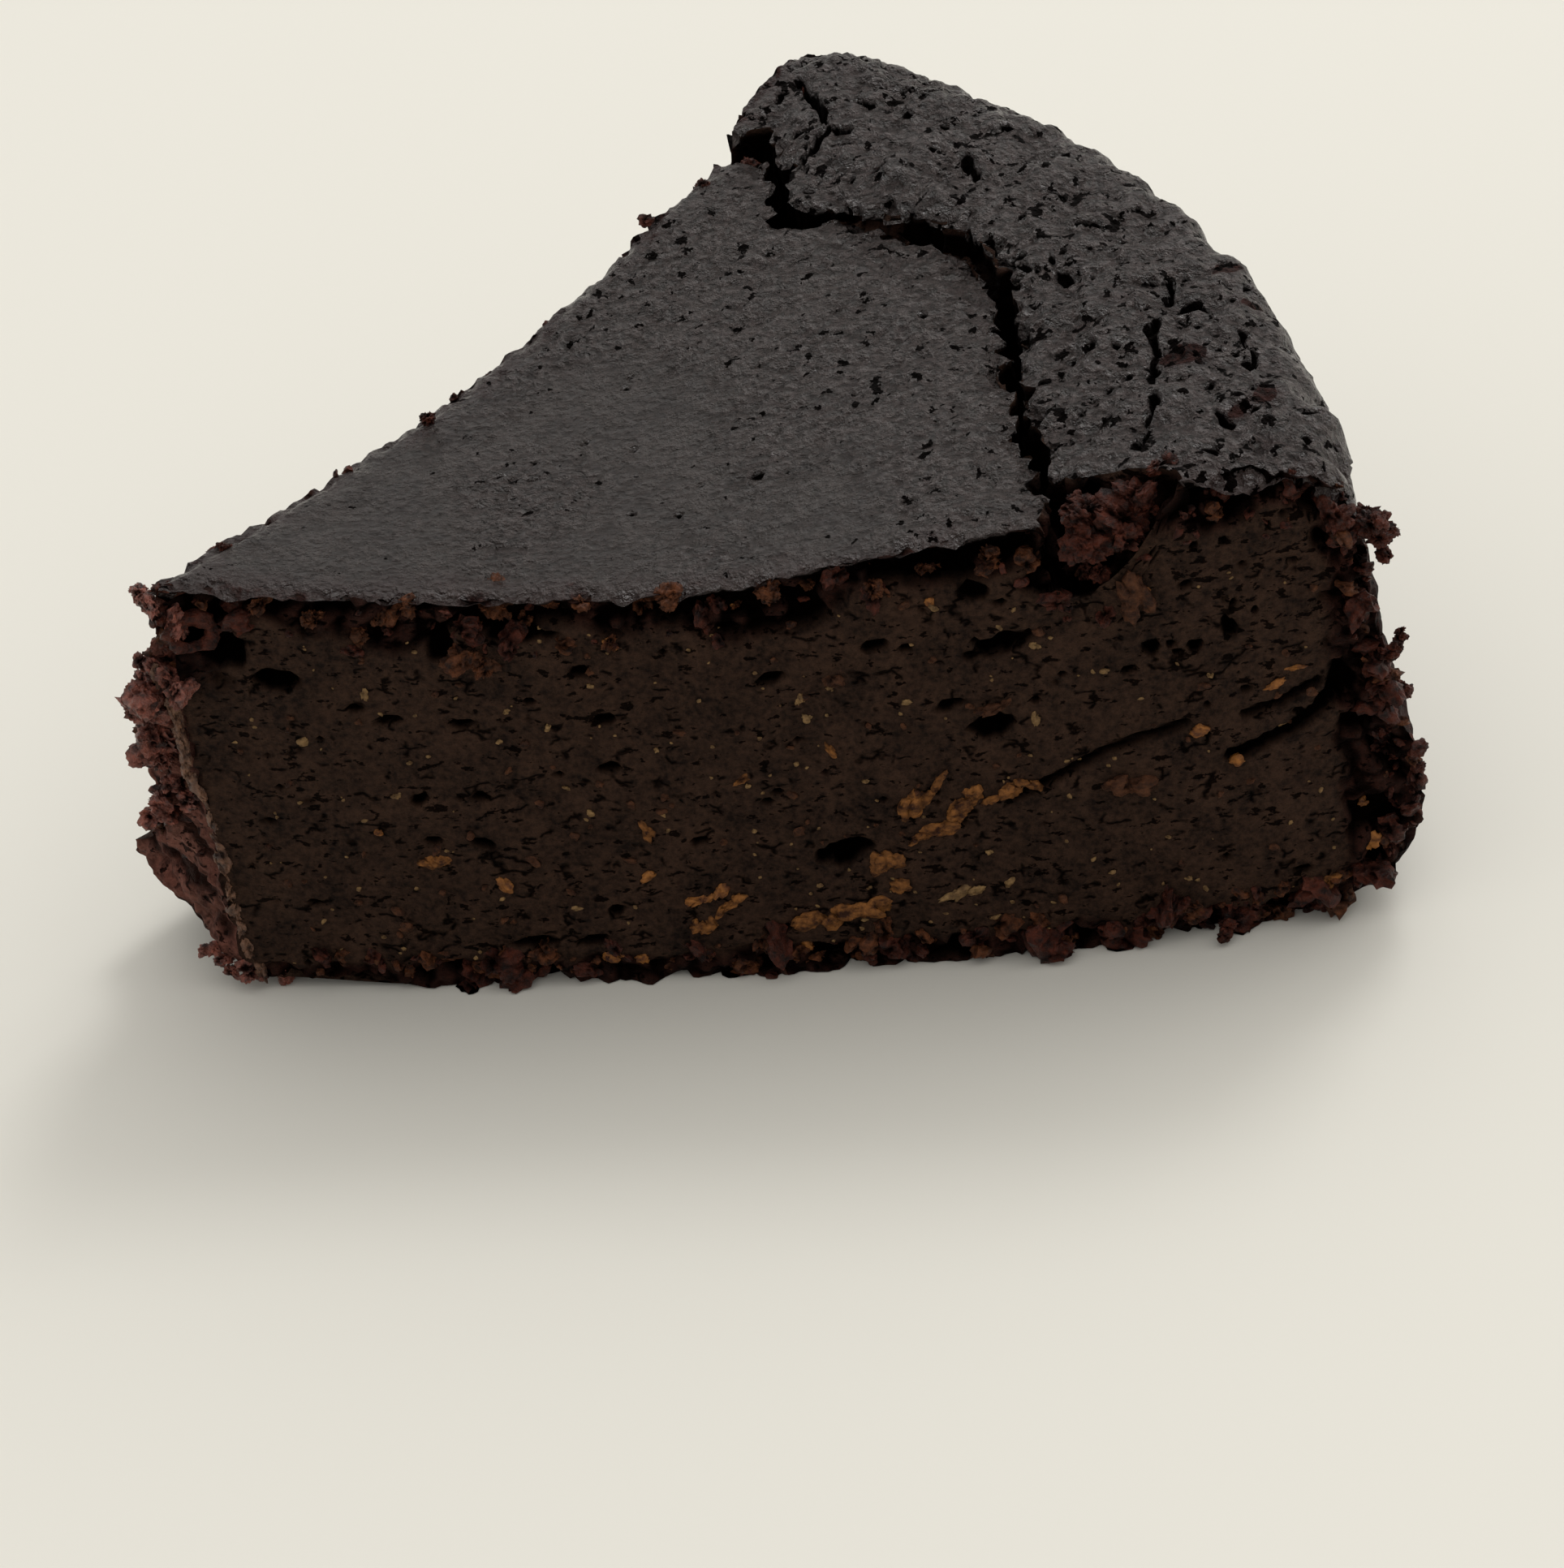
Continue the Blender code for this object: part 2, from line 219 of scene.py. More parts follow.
def plan_radius(s, angle, open_share):
    """Radius of a radial station, and how far over the crack it lies, from -1 to 1."""
    arc = math.radians(angle) * along(CRACK_ROUTE, angle)
    middle = along(CRACK_ROUTE, angle) + CRACK_JAG * ripple(arc, 3.0, 0.0, 4.2)
    half = along(CRACK_HALF_WIDTH, angle)
    inner = crack_edge(arc, half, 9.0, 3.1, 1.2)
    outer = crack_edge(arc, half, 21.0, 4.3, 1.4)
    outer += BREAK_REACH * (1.0 - smooth_step(angle / BREAK_ANGLE))
    inner = CRACK_GRID_HALF + (inner - CRACK_GRID_HALF) * open_share
    outer = CRACK_GRID_HALF + (outer - CRACK_GRID_HALF) * open_share
    if s <= CENTRE_SHARE:
        return s / CENTRE_SHARE * (middle - inner), -1.0
    if s >= RIM_SHARE:
        part = (s - RIM_SHARE) / (1.0 - RIM_SHARE)
        return middle + outer + part * (TOP_RADIUS - middle - outer), 1.0
    over = 2.0 * (s - CENTRE_SHARE) / (RIM_SHARE - CENTRE_SHARE) - 1.0
    return middle + over * (outer if over > 0.0 else inner), over


def crust_height(radius, over):
    """Height of the crust, with the crack bridged."""
    if over <= -1.0:
        return along(CENTRE_TOP, radius)
    if over >= 1.0:
        return along(RIM_TOP, radius)
    blend = smooth_step((over + 1.0) / 2.0)
    return (1.0 - blend) * along(CENTRE_TOP, radius) + blend * along(RIM_TOP, radius)


def crack_depth(over, angle):
    """How far the crack, and the break at its near end, go down from the crust."""
    if abs(over) >= 1.0:
        return 0.0
    place = 6.0 * over
    broken = BREAK_DEPTH * (1.0 - smooth_step(angle / BREAK_ANGLE))
    broken *= 1.0 + 0.9 * ripple(place, angle, 0.0, 1.7) + 0.5 * ripple(place, angle, 5.0, 0.7)
    shallow = smooth_step((along(CRACK_HALF_WIDTH, angle) - 0.1) / 0.6)
    return max(shallow * CRACK_DEPTH * along(CRACK_SECTION, over), broken * (1.0 - over * over))


def place_point(s, t, h):
    """Carry a point of the unit cube to the slice: s outwards, t across, h upwards."""
    angle = t * CUT_ANGLE
    open_share = smooth_step((h - CRACK_ROOT) / (1.0 - CRACK_ROOT))
    radius, over = plan_radius(s, angle, open_share)
    fade = 1.0 - smooth_step(radius / LIFT_FADE)
    foot = (LIFT_NEAR + (LIFT_FAR - LIFT_NEAR) * t) * fade
    z = foot + h * (crust_height(radius, over) - foot) - crack_depth(over, angle) * open_share
    radius += (along(SIDE, z) - TOP_RADIUS) * (radius / TOP_RADIUS) ** SIDE_FADE_POWER
    turn = math.radians(angle)
    point = Vector((radius * math.cos(turn), radius * math.sin(turn), z))

    share = 4.0 * s * (1.0 - s)
    near = NEAR_BOW_FOOT + (NEAR_BOW_TOP - NEAR_BOW_FOOT) * h
    point.y -= near * share * (1.0 - t) ** 2
    far_turn = math.radians(CUT_ANGLE)
    far_out = Vector((-math.sin(far_turn), math.cos(far_turn), 0.0))
    point += far_out * along(FAR_WANDER, radius) * t * t

    across, up = t / TORN_WAVER_SIZE.x, z / TORN_WAVER_SIZE.y
    waver = TORN_WAVER * (1.0 - t) * t * 4.0 * noise.noise(Vector((across, up, 0.0)))
    torn = along(TORN_RUN, z + waver) * t * (1.0 - smooth_step(radius / TORN_FADE))
    torn_turn = math.radians(TORN_DIRECTION)
    return point + Vector((math.cos(torn_turn), math.sin(torn_turn), 0.0)) * torn


def groove(place, lines):
    """How far down the deepest of the drawn grooves reaches at a place; that depth also sets their
    painted shade.
    """
    deepest = 0.0
    for half, depth, points in lines:
        for a, b in zip(points, points[1:]):
            a, b = Vector((*a, 0.0)), Vector((*b, 0.0))
            near, part = intersect_point_line(place, a, b)
            near = a if part < 0.0 else b if part > 1.0 else near
            apart = (place - near).length / half
            deepest = max(deepest, depth * (1.0 - smooth_step((apart - 0.2) / 0.9)))
    return deepest


def pits(x, y, z, size, share, reach):
    """Small holes scattered at random, 0 to 1: share of the lumps that hold one, and its reach."""
    bent = Vector((x + 0.35 * ripple(x, y, 8.0, 0.8), y + 0.35 * ripple(x, y, 2.0, 0.8), z)) / size
    apart, seeds = noise.voronoi(bent)
    if 0.5 + 0.5 * noise.cell(seeds[0] * 7.31) > share:
        return 0.0
    wide = reach * (0.6 + 0.4 * noise.cell(seeds[0] * 3.77))
    return 1.0 - smooth_step((apart[0] - 0.5 * wide) / (0.6 * wide))


def edge_chips(x, y, edge):
    """How far the crust is chipped away close to a cut edge, and how red that leaves it."""
    close = 1.0 - smooth_step((edge - 0.3) / 1.6)
    chip = close * (0.5 + 1.5 * max(0.0, ripple(x, y, 60.0, 2.6)) + 0.5 * ripple(x, y, 70.0, 1.1))
    stained = 1.0 - smooth_step((edge - 1.0 - 3.0 * ripple(x, y, 80.0, 5.0)) / 2.5)
    return chip, 0.65 * stained


def ragged_lip(x, y, radius, angle):
    """Sideways shift that breaks the crust into ragged bits beside the main crack."""
    apart = abs(radius - along(CRACK_ROUTE, angle))
    close = 1.0 - smooth_step((apart - RAGGED_REACH) / RAGGED_FADE)
    wave = Vector((ripple(x, y, 33.0, 1.5), ripple(x, y, 37.0, 1.5), 0.0))
    bit = noise.voronoi(Vector((x, y, 0.0)) / 1.8)[1][0]
    block = Vector((noise.cell(bit * 5.3), noise.cell(bit * 9.1), 0.0))
    return (0.9 * wave + 0.45 * block) * close


def beside_crack(x, y, radius, angle):
    """How close a place is to the main crack, 0 to 1, how far it is chipped, and where it sinks into a
    hollow painted black as shade.
    """
    lip = 1.0 - smooth_step((abs(radius - along(CRACK_ROUTE, angle)) - LIP_REACH) / LIP_FADE)
    chip = lip * (0.7 + 1.1 * ripple(x, y, 40.0, 2.6) + 0.6 * ripple(x, y, 44.0, 1.2))
    black = lip * smooth_step(2.2 * ripple(x, y, 50.0, 1.6) - 0.35)
    return lip, chip, black


def bent_place(x, y):
    """A place on the crust, wavered so that what is laid out there has no clean edges."""
    return Vector((x + 0.8 * ripple(x, y, 1.0, 1.8), y + 0.8 * ripple(x, y, 6.0, 1.8), 0.0))


def pinhole(x, y):
    """How deep the drawn pinholes of the middle are at a place, 0 to 1."""
    hole = 0.0
    for hole_x, hole_y, size in PINHOLES:
        apart = math.hypot(x - hole_x, y - hole_y) / size
        hole = max(hole, 1.0 - smooth_step(apart - 0.3))
    return hole


def middle_relief(x, y, radius, lip, black):
    """Relief of the sunken middle before its holes, how rough it is, and how far its holes sink, which
    also sets how much painted shade darkens them.
    """
    bent = bent_place(x, y)
    patch = smooth_step(0.45 + 1.1 * ripple(x, y, 5.0, 15.0) + (radius - PATCH_RADIUS) / PATCH_RUN)
    move = 0.15 * ripple(x, y, 0.0, 7.0) + 0.12 * ripple(x, y, 2.0, 3.0)
    move += (0.15 + 0.45 * patch) * clump(bent, 2.1) + (0.15 + 0.30 * patch) * clump(bent, 1.1)
    hole = max(pinhole(x, y), patch * pits(x, y, 0.0, 2.4, 0.10, 0.24))
    hole = max(hole, lip * pits(x, y, 11.0, 1.9, 0.4, 0.40), black)
    return move, 0.3 + 0.5 * patch + 0.2 * lip, hole


def rim_relief(x, y, radius, angle, lip, black):
    """Relief of the domed rim before its holes, and how far its holes and finer cracks sink, which also
    sets how much painted shade darkens them.
    """
    bent = bent_place(x, y)
    raised = smooth_step((radius - along(CRACK_ROUTE, angle) - 0.5) / 4.0)
    move = 0.90 * ripple(x, y, 0.0, 6.5) + 0.65 * ripple(x, y, 7.0, 3.2)
    move += 1.15 * clump(bent, 3.6) + 0.60 * clump(bent, 1.5) + 0.20 * ripple(x, y, 3.0, 0.9)
    dense = smooth_step((x - DENSE_START) / DENSE_RUN)
    hole = pits(x, y, 0.0, 1.5, 0.24 + 0.16 * dense, 0.34)
    hole = max(hole, 1.2 * pits(x, y, 5.0, 3.0, 0.16 + 0.14 * dense, 0.24))
    hole = max(hole, 1.5 * lip * pits(x, y, 11.0, 1.9, 0.5, 0.42), black)
    hole = max(hole, 1.1 * smooth_step((ripple(x, y, 15.0, 1.9) - 0.50) / 0.10))
    crack = groove(bent, RIM_CRACKS) * smooth_step(0.65 + 1.3 * ripple(x, y, 90.0, 2.2))
    return move * (0.4 + 0.6 * raised), hole, crack


def top_relief(point, over, radius, angle):
    """Relief of the crust, how rough and red it is there, and how much painted shade darkens its holes
    and cracks.
    """
    x, y = point.x, point.y
    edge = radius * math.radians(min(angle, CUT_ANGLE - angle))
    chipped, stain = edge_chips(x, y, edge)
    lip, chip, black = beside_crack(x, y, radius, angle)
    if over < 1.0:
        move, rough, hole = middle_relief(x, y, radius, lip, black)
        return move - chip - chipped - 0.8 * hole, rough, stain, hole
    move, hole, crack = rim_relief(x, y, radius, angle, lip, black)
    red = smooth_step((x - RED_START) / RED_RUN) * smooth_step(2.4 * ripple(x, y, 30.0, 4.0) - 0.5)
    red = max(red, stain, 0.45 * smooth_step((radius - RED_RADIUS) / RED_RADIUS_RUN))
    near = 1.0 - smooth_step(angle / ROLL_ANGLE)
    rolled = ROLL_DEPTH * near * smooth_step((radius - ROLL_RADIUS) / ROLL_RUN)
    move = move - hole - crack - chip - rolled - 0.6 * chipped
    return move, 1.0, red, min(1.0, hole + crack)


def cavity_depth(x, z):
    """How far the torn hollows of the near cut sink at a place."""
    depth = 0.0
    for centre_x, centre_z, half_length, half_height, tilt, most in CAVITIES:
        aside, rise = x - centre_x, z - centre_z
        if max(abs(aside), abs(rise)) < CAVITY_REACH:
            turn = math.radians(tilt)
            length = (aside * math.cos(turn) + rise * math.sin(turn)) / half_length
            height = (rise * math.cos(turn) - aside * math.sin(turn)) / half_height
            apart = math.hypot(length, height) + 0.35 * ripple(x, 0.0, z, 1.2)
            depth = max(depth, most * (1.0 - smooth_step((apart - 0.55) / 0.6)))
    return depth


def cut_bands(point, drop):
    """How crumbly a cut is under the crust, along the foot, and with its two ends in all."""
    x, y, z = point
    reach = point.xy.length
    top_band = 1.0 - smooth_step((drop - TOP_BAND - 2.6 * ripple(x, y, 0.0, 6.0)) / 1.8)
    foot_band = 1.0 - smooth_step((z - FOOT_BAND - 1.6 * ripple(x, y, 4.0, 4.0)) / 1.4)
    end_band = smooth_step((reach - END_BAND - 1.8 * ripple(x, y, z, 4.0)) / 1.8)
    tip_band = 1.0 - smooth_step((reach - TIP_BAND - 2.0 * ripple(x, y, z, 4.0)) / 3.0)
    tip_band *= smooth_step((z - TIP_BAND_HEIGHT) / TIP_BAND_RISE)
    return top_band, foot_band, max(top_band, foot_band, end_band, tip_band)


def cut_pores(point, outer):
    """How far the scattered pores of a cut sink, 0 to 1, with more of them at the rim's end; this also
    sets their painted shade.
    """
    x, y, z = point
    share = 0.12 + 0.16 * ripple(x, y, z, 11.0)
    pore = pits(x / 1.8, y / 1.8, z, 1.05, share + 0.36 * outer, 0.32 + 0.06 * outer)
    return max(pore, pits(x / 2.2 + 50.0, y / 2.2, z, 2.1, share + 0.12 * outer, 0.26))


def cut_relief(point, drop, near):
    """Relief of a cut face, how red and pored it is, and how much painted shade darkens its pores, gaps
    and hollows. Drop is how far below the crust.
    """
    x, y, z = point
    outer = smooth_step((point.xy.length - PORED_RADIUS) / PORED_RUN)
    outer *= smooth_step((z - PORED_HEIGHT) / PORED_RUN)
    pore = cut_pores(point, outer)
    top_band, foot_band, crumbly = cut_bands(point, drop)
    bent = point + Vector((ripple(x, y, z, 2.2), ripple(z, x, y, 2.2), ripple(y, z, x, 2.2)))
    gap = smooth_step((ripple(x * 0.7, y * 0.7, z, 2.4) - 0.10 + 0.20 * top_band) / 0.20)
    low = smooth_step((0.12 - clump(bent, 1.5)) / 0.3)
    # Painted shade: pores, the gaps between crumbs and the low parts of the crumbly bands are darkened
    # as shade, more so in the band under the crust's overhang.
    painted_shade = max(pore, 0.95 * crumbly * gap, (0.6 + 0.25 * top_band) * crumbly * low)
    move = 0.26 * ripple(x, y, z, 8.0) + 0.16 * ripple(x, y, z, 3.0) + 0.22 * clump(point, 1.7)
    move -= 0.9 * pore
    move += crumbly * (2.0 * clump(bent, 3.0) + 1.3 * clump(bent, 1.5) - 1.7 * gap - 0.1)
    move -= 0.6 * top_band * smooth_step((drop - 0.5) / 0.8)
    move += foot_band * (1.2 * clump(point, 3.4) - 0.2)
    if near:
        cavity = cavity_depth(x, z)
        crease = groove(Vector((x, z, 0.0)), CREASES)
        move -= cavity + crease
        # Hollows and creases get painted shade as well.
        painted_shade = max(painted_shade, cavity, 0.8 * crease)
    return move, crumbly * (1.0 - 0.8 * gap), outer, min(painted_shade, 1.0)


def side_relief(point):
    """Relief of the baked side: flutes from the pan's wall and torn crumbs between them."""
    x, y, z = point
    flute = noise.noise(Vector((x / 1.3, y / 1.3, z / 7.0)))
    torn = noise.noise(Vector((x / 2.2, y / 2.2, z / 3.0)))
    return 0.45 * flute + 0.5 * clump(point, 2.2) - 0.9 * smooth_step((torn - 0.3) / 0.2)


def tip_relief(point):
    """Relief of the torn tip: ragged folds running down to the right, and how much painted shade darkens
    the hollows between them.
    """
    x, y, z = point
    bent = point + 1.5 * Vector((ripple(x, y, z, 3.0), ripple(z, x, y, 3.0), ripple(y, z, x, 3.0)))
    fold = noise.noise(Vector(((x + y) / 3.0, (x - y) / 6.0, (z + 0.8 * x) / 2.0)))
    lump = 1.5 * clump(bent, 4.6) + 0.9 * clump(bent, 1.9)
    return lump + fold - 0.6 * abs(ripple(x, y, z, 1.6)), smooth_step((0.05 - fold) / 0.35)


def gridded_cube():
    """A unit cube cut into cells, finer where the photograph shows most."""
    mesh = bmesh.new()
    bmesh.ops.create_cube(mesh, size=1.0)
    bmesh.ops.translate(mesh, verts=mesh.verts, vec=(0.5, 0.5, 0.5))
    for axis, cells in enumerate((RADIAL_CELLS, ACROSS_CELLS, HEIGHT_CELLS)):
        lines = [e for e in mesh.edges if abs(e.verts[0].co[axis] - e.verts[1].co[axis]) > 0.5]
        bmesh.ops.subdivide_edges(mesh, edges=lines, cuts=cells - 1, use_grid_fill=True)
    halve(mesh, lambda c: c.z > OUTER_END or c.y < INNER_END or c.x > OUTER_END, (0, 1, 2))
    halve(mesh, lambda c: c.x < INNER_END, (2,))
    halve(mesh, lambda c: c.z > OUTER_END and c.x > CENTRE_SHARE, (1,))
    return mesh


def halve(mesh, wanted, axes):
    """Halve the cells of the wanted faces, given by their centres, along some axes."""
    lines = set()
    for face in mesh.faces:
        if wanted(face.calc_center_median()):
            for edge in face.edges:
                run = edge.verts[0].co - edge.verts[1].co
                if max(range(3), key=lambda k: abs(run[k])) in axes:
                    lines.add(edge)
    bmesh.ops.subdivide_edges(mesh, edges=list(lines), cuts=1, use_grid_fill=True)


# Edges sharper than these angles, in degrees, are shaded as edges.
BODY_SHARP, CRUMB_SHARP, FRUIT_SHARP = 70.0, 50.0, 180.0


def finished(mesh, name, materials, sharp):
    """Carry a mesh from tip millimetres to the part and make its object."""
    bmesh.ops.recalc_face_normals(mesh, faces=mesh.faces)
    bmesh.ops.transform(mesh, matrix=Matrix.Scale(MM, 4) @ Matrix.Translation(TIP_PLACE),
                        verts=mesh.verts)
    for vert in mesh.verts:
        vert.co.z = max(vert.co.z, 0.0)
    data = bpy.data.meshes.new(name)
    mesh.to_mesh(data)
    mesh.free()
    data.shade_smooth()
    data.set_sharp_from_angle(angle=math.radians(sharp))
    for material in materials:
        data.materials.append(material)
    made = bpy.data.objects.new(name, data)
    bpy.context.scene.collection.objects.link(made)
    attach(made, "root")
    return made


def skin_slot(centre):
    """The material slot of a face of the grid cube, by its centre."""
    if centre.z > OUTER_END:
        return CUT_SLOT if CENTRE_SHARE < centre.x < RIM_SHARE else CRUST_SLOT
    if centre.x > OUTER_END:
        return CRUST_SLOT if centre.z > CRUST_FOOT else SIDE_SLOT
    return TORN_SLOT if centre.x < INNER_END else CUT_SLOT


def crack_wall(point, drop, angle):
    """Lumps on the main crack's walls, how red they are, and how much painted shade darkens them further
    down. Drop is how far down.
    """
    broken = 1.0 - smooth_step((angle - 3.0) / BREAK_ANGLE)
    lump = clump(point, 2.6) + 0.7 * clump(point, 1.3)
    hidden = 1.0 - broken * smooth_step(0.5 + 1.5 * lump)
    painted_shade = hidden * smooth_step((drop - 0.3) / 1.2)
    return (0.8 + 1.4 * broken) * lump * smooth_step(drop / 1.5), 0.4 + 0.6 * broken, painted_shade


def skin_relief(point, normal, station):
    """How a point of the skin shifts, how much painted shade darkens it, and how red and rough it is."""
    s, t, h = station
    angle = t * CUT_ANGLE
    over = min(max(2.0 * (s - CENTRE_SHARE) / (RIM_SHARE - CENTRE_SHARE) - 1.0, -1.0), 1.0)
    move, painted_shade, red, rough, aside = 0.0, 0.0, 0.0, 0.0, Vector()
    radius = point.xy.length
    drop = crust_height(radius, over) - point.z
    if h == 1.0:
        move, rough, red, painted_shade = top_relief(point, over, radius, angle)
        if abs(over) < 1.0:
            wall, wall_red, wall_shade = crack_wall(point, drop, angle)
            move, red, painted_shade = move + wall, max(red, wall_red), max(painted_shade, wall_shade)
        aside = ragged_lip(point.x, point.y, radius, angle)
    if t in (0.0, 1.0):
        cut_move, cut_red, pored, cut_shade = cut_relief(point, drop, t == 0.0)
        move, red = move + cut_move, max(red, cut_red)
        painted_shade, rough = max(painted_shade, cut_shade), max(rough, pored)
    if s == 1.0:
        move += side_relief(point) * (1.0 - 0.6 * smooth_step((h - 0.85) / 0.15))
        end = CRUST_END + 0.05 * ripple(*point, 4.0) + 0.05 * ripple(*point, 1.3)
        red = max(red, 0.5, smooth_step((end - h) / CRUST_END_FADE))
        rough = 0.5 + 0.5 * smooth_step((h - 0.8) / 0.2)
    if s == 0.0:
        torn_move, torn_shade = tip_relief(point)
        move += torn_move
        red, painted_shade = 0.5 + 0.5 * ripple(*point, 5.0), 0.55 * torn_shade
    return normal * move + aside, painted_shade, red, rough


def cling_spots(mesh, stations):
    """Spots where crumbs can cling, as places and normals, by the part of the skin they are on."""
    spots = {"top": [], "foot": [], "end": [], "tip": [], "far": [], "side": []}
    for vert, (s, t, h) in zip(mesh.verts, stations):
        spot = (vert.co.copy(), vert.normal.copy())
        if t == 0.0 and 0.86 < h < 0.97 and s > 0.01:
            spots["top"].append(spot)
        if t in (0.0, 1.0) and h < 0.09 and s > 0.05:
            spots["foot"].append(spot)
        if t == 0.0 and s > 0.965:
            spots["end"].append(spot)
        if s == 0.0 and h > 0.15:
            spots["tip"].append(spot)
        if t == 1.0 and h > 0.93:
            spots["far"].append(spot)
        if s == 1.0 and h < 0.9:
            spots["side"].append(spot)
    return spots


def cake_body():
    """The slice itself as a mesh in tip millimetres, with spots where crumbs can cling."""
    mesh = gridded_cube()
    for face in mesh.faces:
        face.material_index = skin_slot(face.calc_center_median())
    # Painted shade is kept per point: how dark hollows, pores, cracks and gaps are painted, as shade
    # falls in them.
    layers = [mesh.verts.layers.float.new(name) for name in ("red", "painted_shade", "rough")]
    red_layer, shade_layer, rough_layer = layers
    stations = []
    for vert in mesh.verts:
        stations.append(tuple(round(c, 5) for c in vert.co))
        vert.co = place_point(*stations[-1])
    mesh.normal_update()
    shifts = []
    for vert, station in zip(mesh.verts, stations):
        shift, painted_shade, red, rough = skin_relief(vert.co, vert.normal, station)
        vert[shade_layer], vert[red_layer], vert[rough_layer] = painted_shade, red, rough
        if station[2] == 0.0:
            shift.z = 0.0
        shifts.append(shift)
    for vert, shift in zip(mesh.verts, shifts):
        vert.co += shift
        vert.co.z = max(vert.co.z, 0.0)
    mesh.normal_update()
    spots = cling_spots(mesh, stations)
    base = [f for f in mesh.faces if all(v.co.z < FLAT for v in f.verts)]
    bmesh.ops.dissolve_faces(mesh, faces=base, use_verts=False)
    bmesh.ops.triangulate(mesh, faces=mesh.faces)
    return mesh, spots


# Carries each crumb from its own mesh to the heap that it joins.
carrier = bpy.data.meshes.new("carrier")
# Crumbs over this size are finer meshes, and a higher power makes more of them small.
COARSE_CRUMB = 0.7
SMALL_BIAS = 2.2


def scattered_vector():
    """A random direction and length."""
    return Vector([DRAWS.gauss(0, 1) for _ in range(3)])


def crumb(mesh, place, size, rounds, stretch, rough, turn=None, shade=1.0):
    """Add one torn, ridged lump: turned at random unless told how, its hollows given painted shade
    scaled by shade.
    """
    lump = bmesh.new()
    painted_shade = lump.verts.layers.float.new("painted_shade")
    bmesh.ops.create_icosphere(lump, subdivisions=rounds, radius=1.0)
    shift = Vector([DRAWS.uniform(0.0, 90.0) for _ in range(3)])
    for vert in lump.verts:
        ridge = 0.3 - abs(noise.noise(vert.co * 1.9 + shift))
        dent = noise.noise(vert.co * 0.8 + shift) + 0.9 * ridge
        dent += 0.4 * noise.noise(vert.co * 4.5 + shift)
        vert.co *= max(0.25, 1.0 + rough * dent)
        # Painted shade: the lump's dents are darkened as shade would darken them.
        vert[painted_shade] = shade * smooth_step(0.35 - 1.6 * dent)
    if turn is None:
        axis = scattered_vector().normalized()
        turn = Matrix.Rotation(DRAWS.uniform(0.0, math.tau), 4, axis)
    shape = Matrix.Diagonal((size * stretch[0], size * stretch[1], size * stretch[2], 1.0))
    bmesh.ops.transform(lump, matrix=Matrix.Translation(place) @ turn @ shape, verts=lump.verts)
    lump.to_mesh(carrier)
    lump.free()
    mesh.from_mesh(carrier)


def heap_of_crumbs():
    """An empty mesh for crumbs, ready to keep the painted shade of each of their points."""
    mesh = bmesh.new()
    mesh.verts.layers.float.new("painted_shade")
    return mesh


def clinging(mesh, spots, count, low, high, out):
    """Scatter crumbs over spots of the surface, mostly small. Out is in sizes, negative if sunk in."""
    for _ in range(count):
        place, normal = DRAWS.choice(spots)
        size = low + (high - low) * DRAWS.random() ** SMALL_BIAS
        stretch = (1.0, DRAWS.uniform(0.6, 1.0), DRAWS.uniform(0.45, 0.8))
        rounds = 3 if size > COARSE_CRUMB else 2
        crumb(mesh, place + normal * size * out, size, rounds, stretch, 1.0)


def cluster(mesh, place, size, count, spread=0.5):
    """A ragged lump made of a few crumbs that run into each other."""
    for _ in range(count):
        jolt = scattered_vector() * spread * size
        stretch = (1.0, DRAWS.uniform(0.6, 1.0), DRAWS.uniform(0.5, 0.9))
        crumb(mesh, Vector(place) + jolt, size * DRAWS.uniform(0.6, 1.0), 4, stretch, 1.0)


# Crumbs that cling to the parts of the skin: (part, count, least size, most size, out).
DARK_CRUMBS = (("top", 70, 0.35, 1.5, -0.3), ("end", 80, 0.35, 1.6, -0.3),
               ("tip", 20, 0.4, 1.4, -0.3), ("far", 24, 0.3, 0.8, -0.4),
               ("side", 70, 0.25, 0.9, -0.3), ("foot", 90, 0.5, 2.1, -0.3))
BROWN_CRUMBS = (("foot", 90, 0.45, 1.7, -0.4), ("top", 16, 0.3, 1.2, -0.3),
                ("tip", 20, 0.4, 1.2, -0.3), ("end", 24, 0.3, 1.1, -0.3))
# Lumps that stand out of the outline: (place, size, crumbs).
BREAK_LUMPS = (
    ((84.6, -1.6, 46.2), 1.7, 2), ((85.4, -3.0, 45.0), 1.6, 2), ((86.4, -1.4, 46.6), 1.9, 3),
    ((87.8, -2.4, 45.6), 1.5, 2), ((88.4, -0.4, 48.0), 1.9, 3), ((90.4, 0.4, 49.2), 1.7, 2),
    ((92.2, 0.9, 49.8), 1.4, 2), ((86.8, 1.4, 47.4), 1.4, 2), ((91.6, -0.2, 46.4), 0.9, 2),
    ((90.8, -0.5, 44.4), 0.8, 2), ((89.2, -0.6, 42.8), 0.9, 2), ((86.8, -0.8, 41.6), 0.8, 2),
    ((84.8, -0.8, 41.8), 0.7, 2),
)
END_LUMPS = (
    ((111.2, 1.2, 43.4), 1.4, 3), ((112.1, 1.0, 41.4), 1.0, 3), ((112.0, 0.8, 39.4), 0.8, 2),
    ((112.0, 0.7, 29.4), 0.9, 3), ((112.8, 0.6, 30.2), 0.7, 3), ((113.4, 0.5, 30.9), 0.55, 3),
    ((113.6, 1.5, 24.0), 0.8, 2), ((113.9, 1.0, 16.0), 0.8, 2), ((95.1, -3.7, 1.0), 0.8, 3),
)
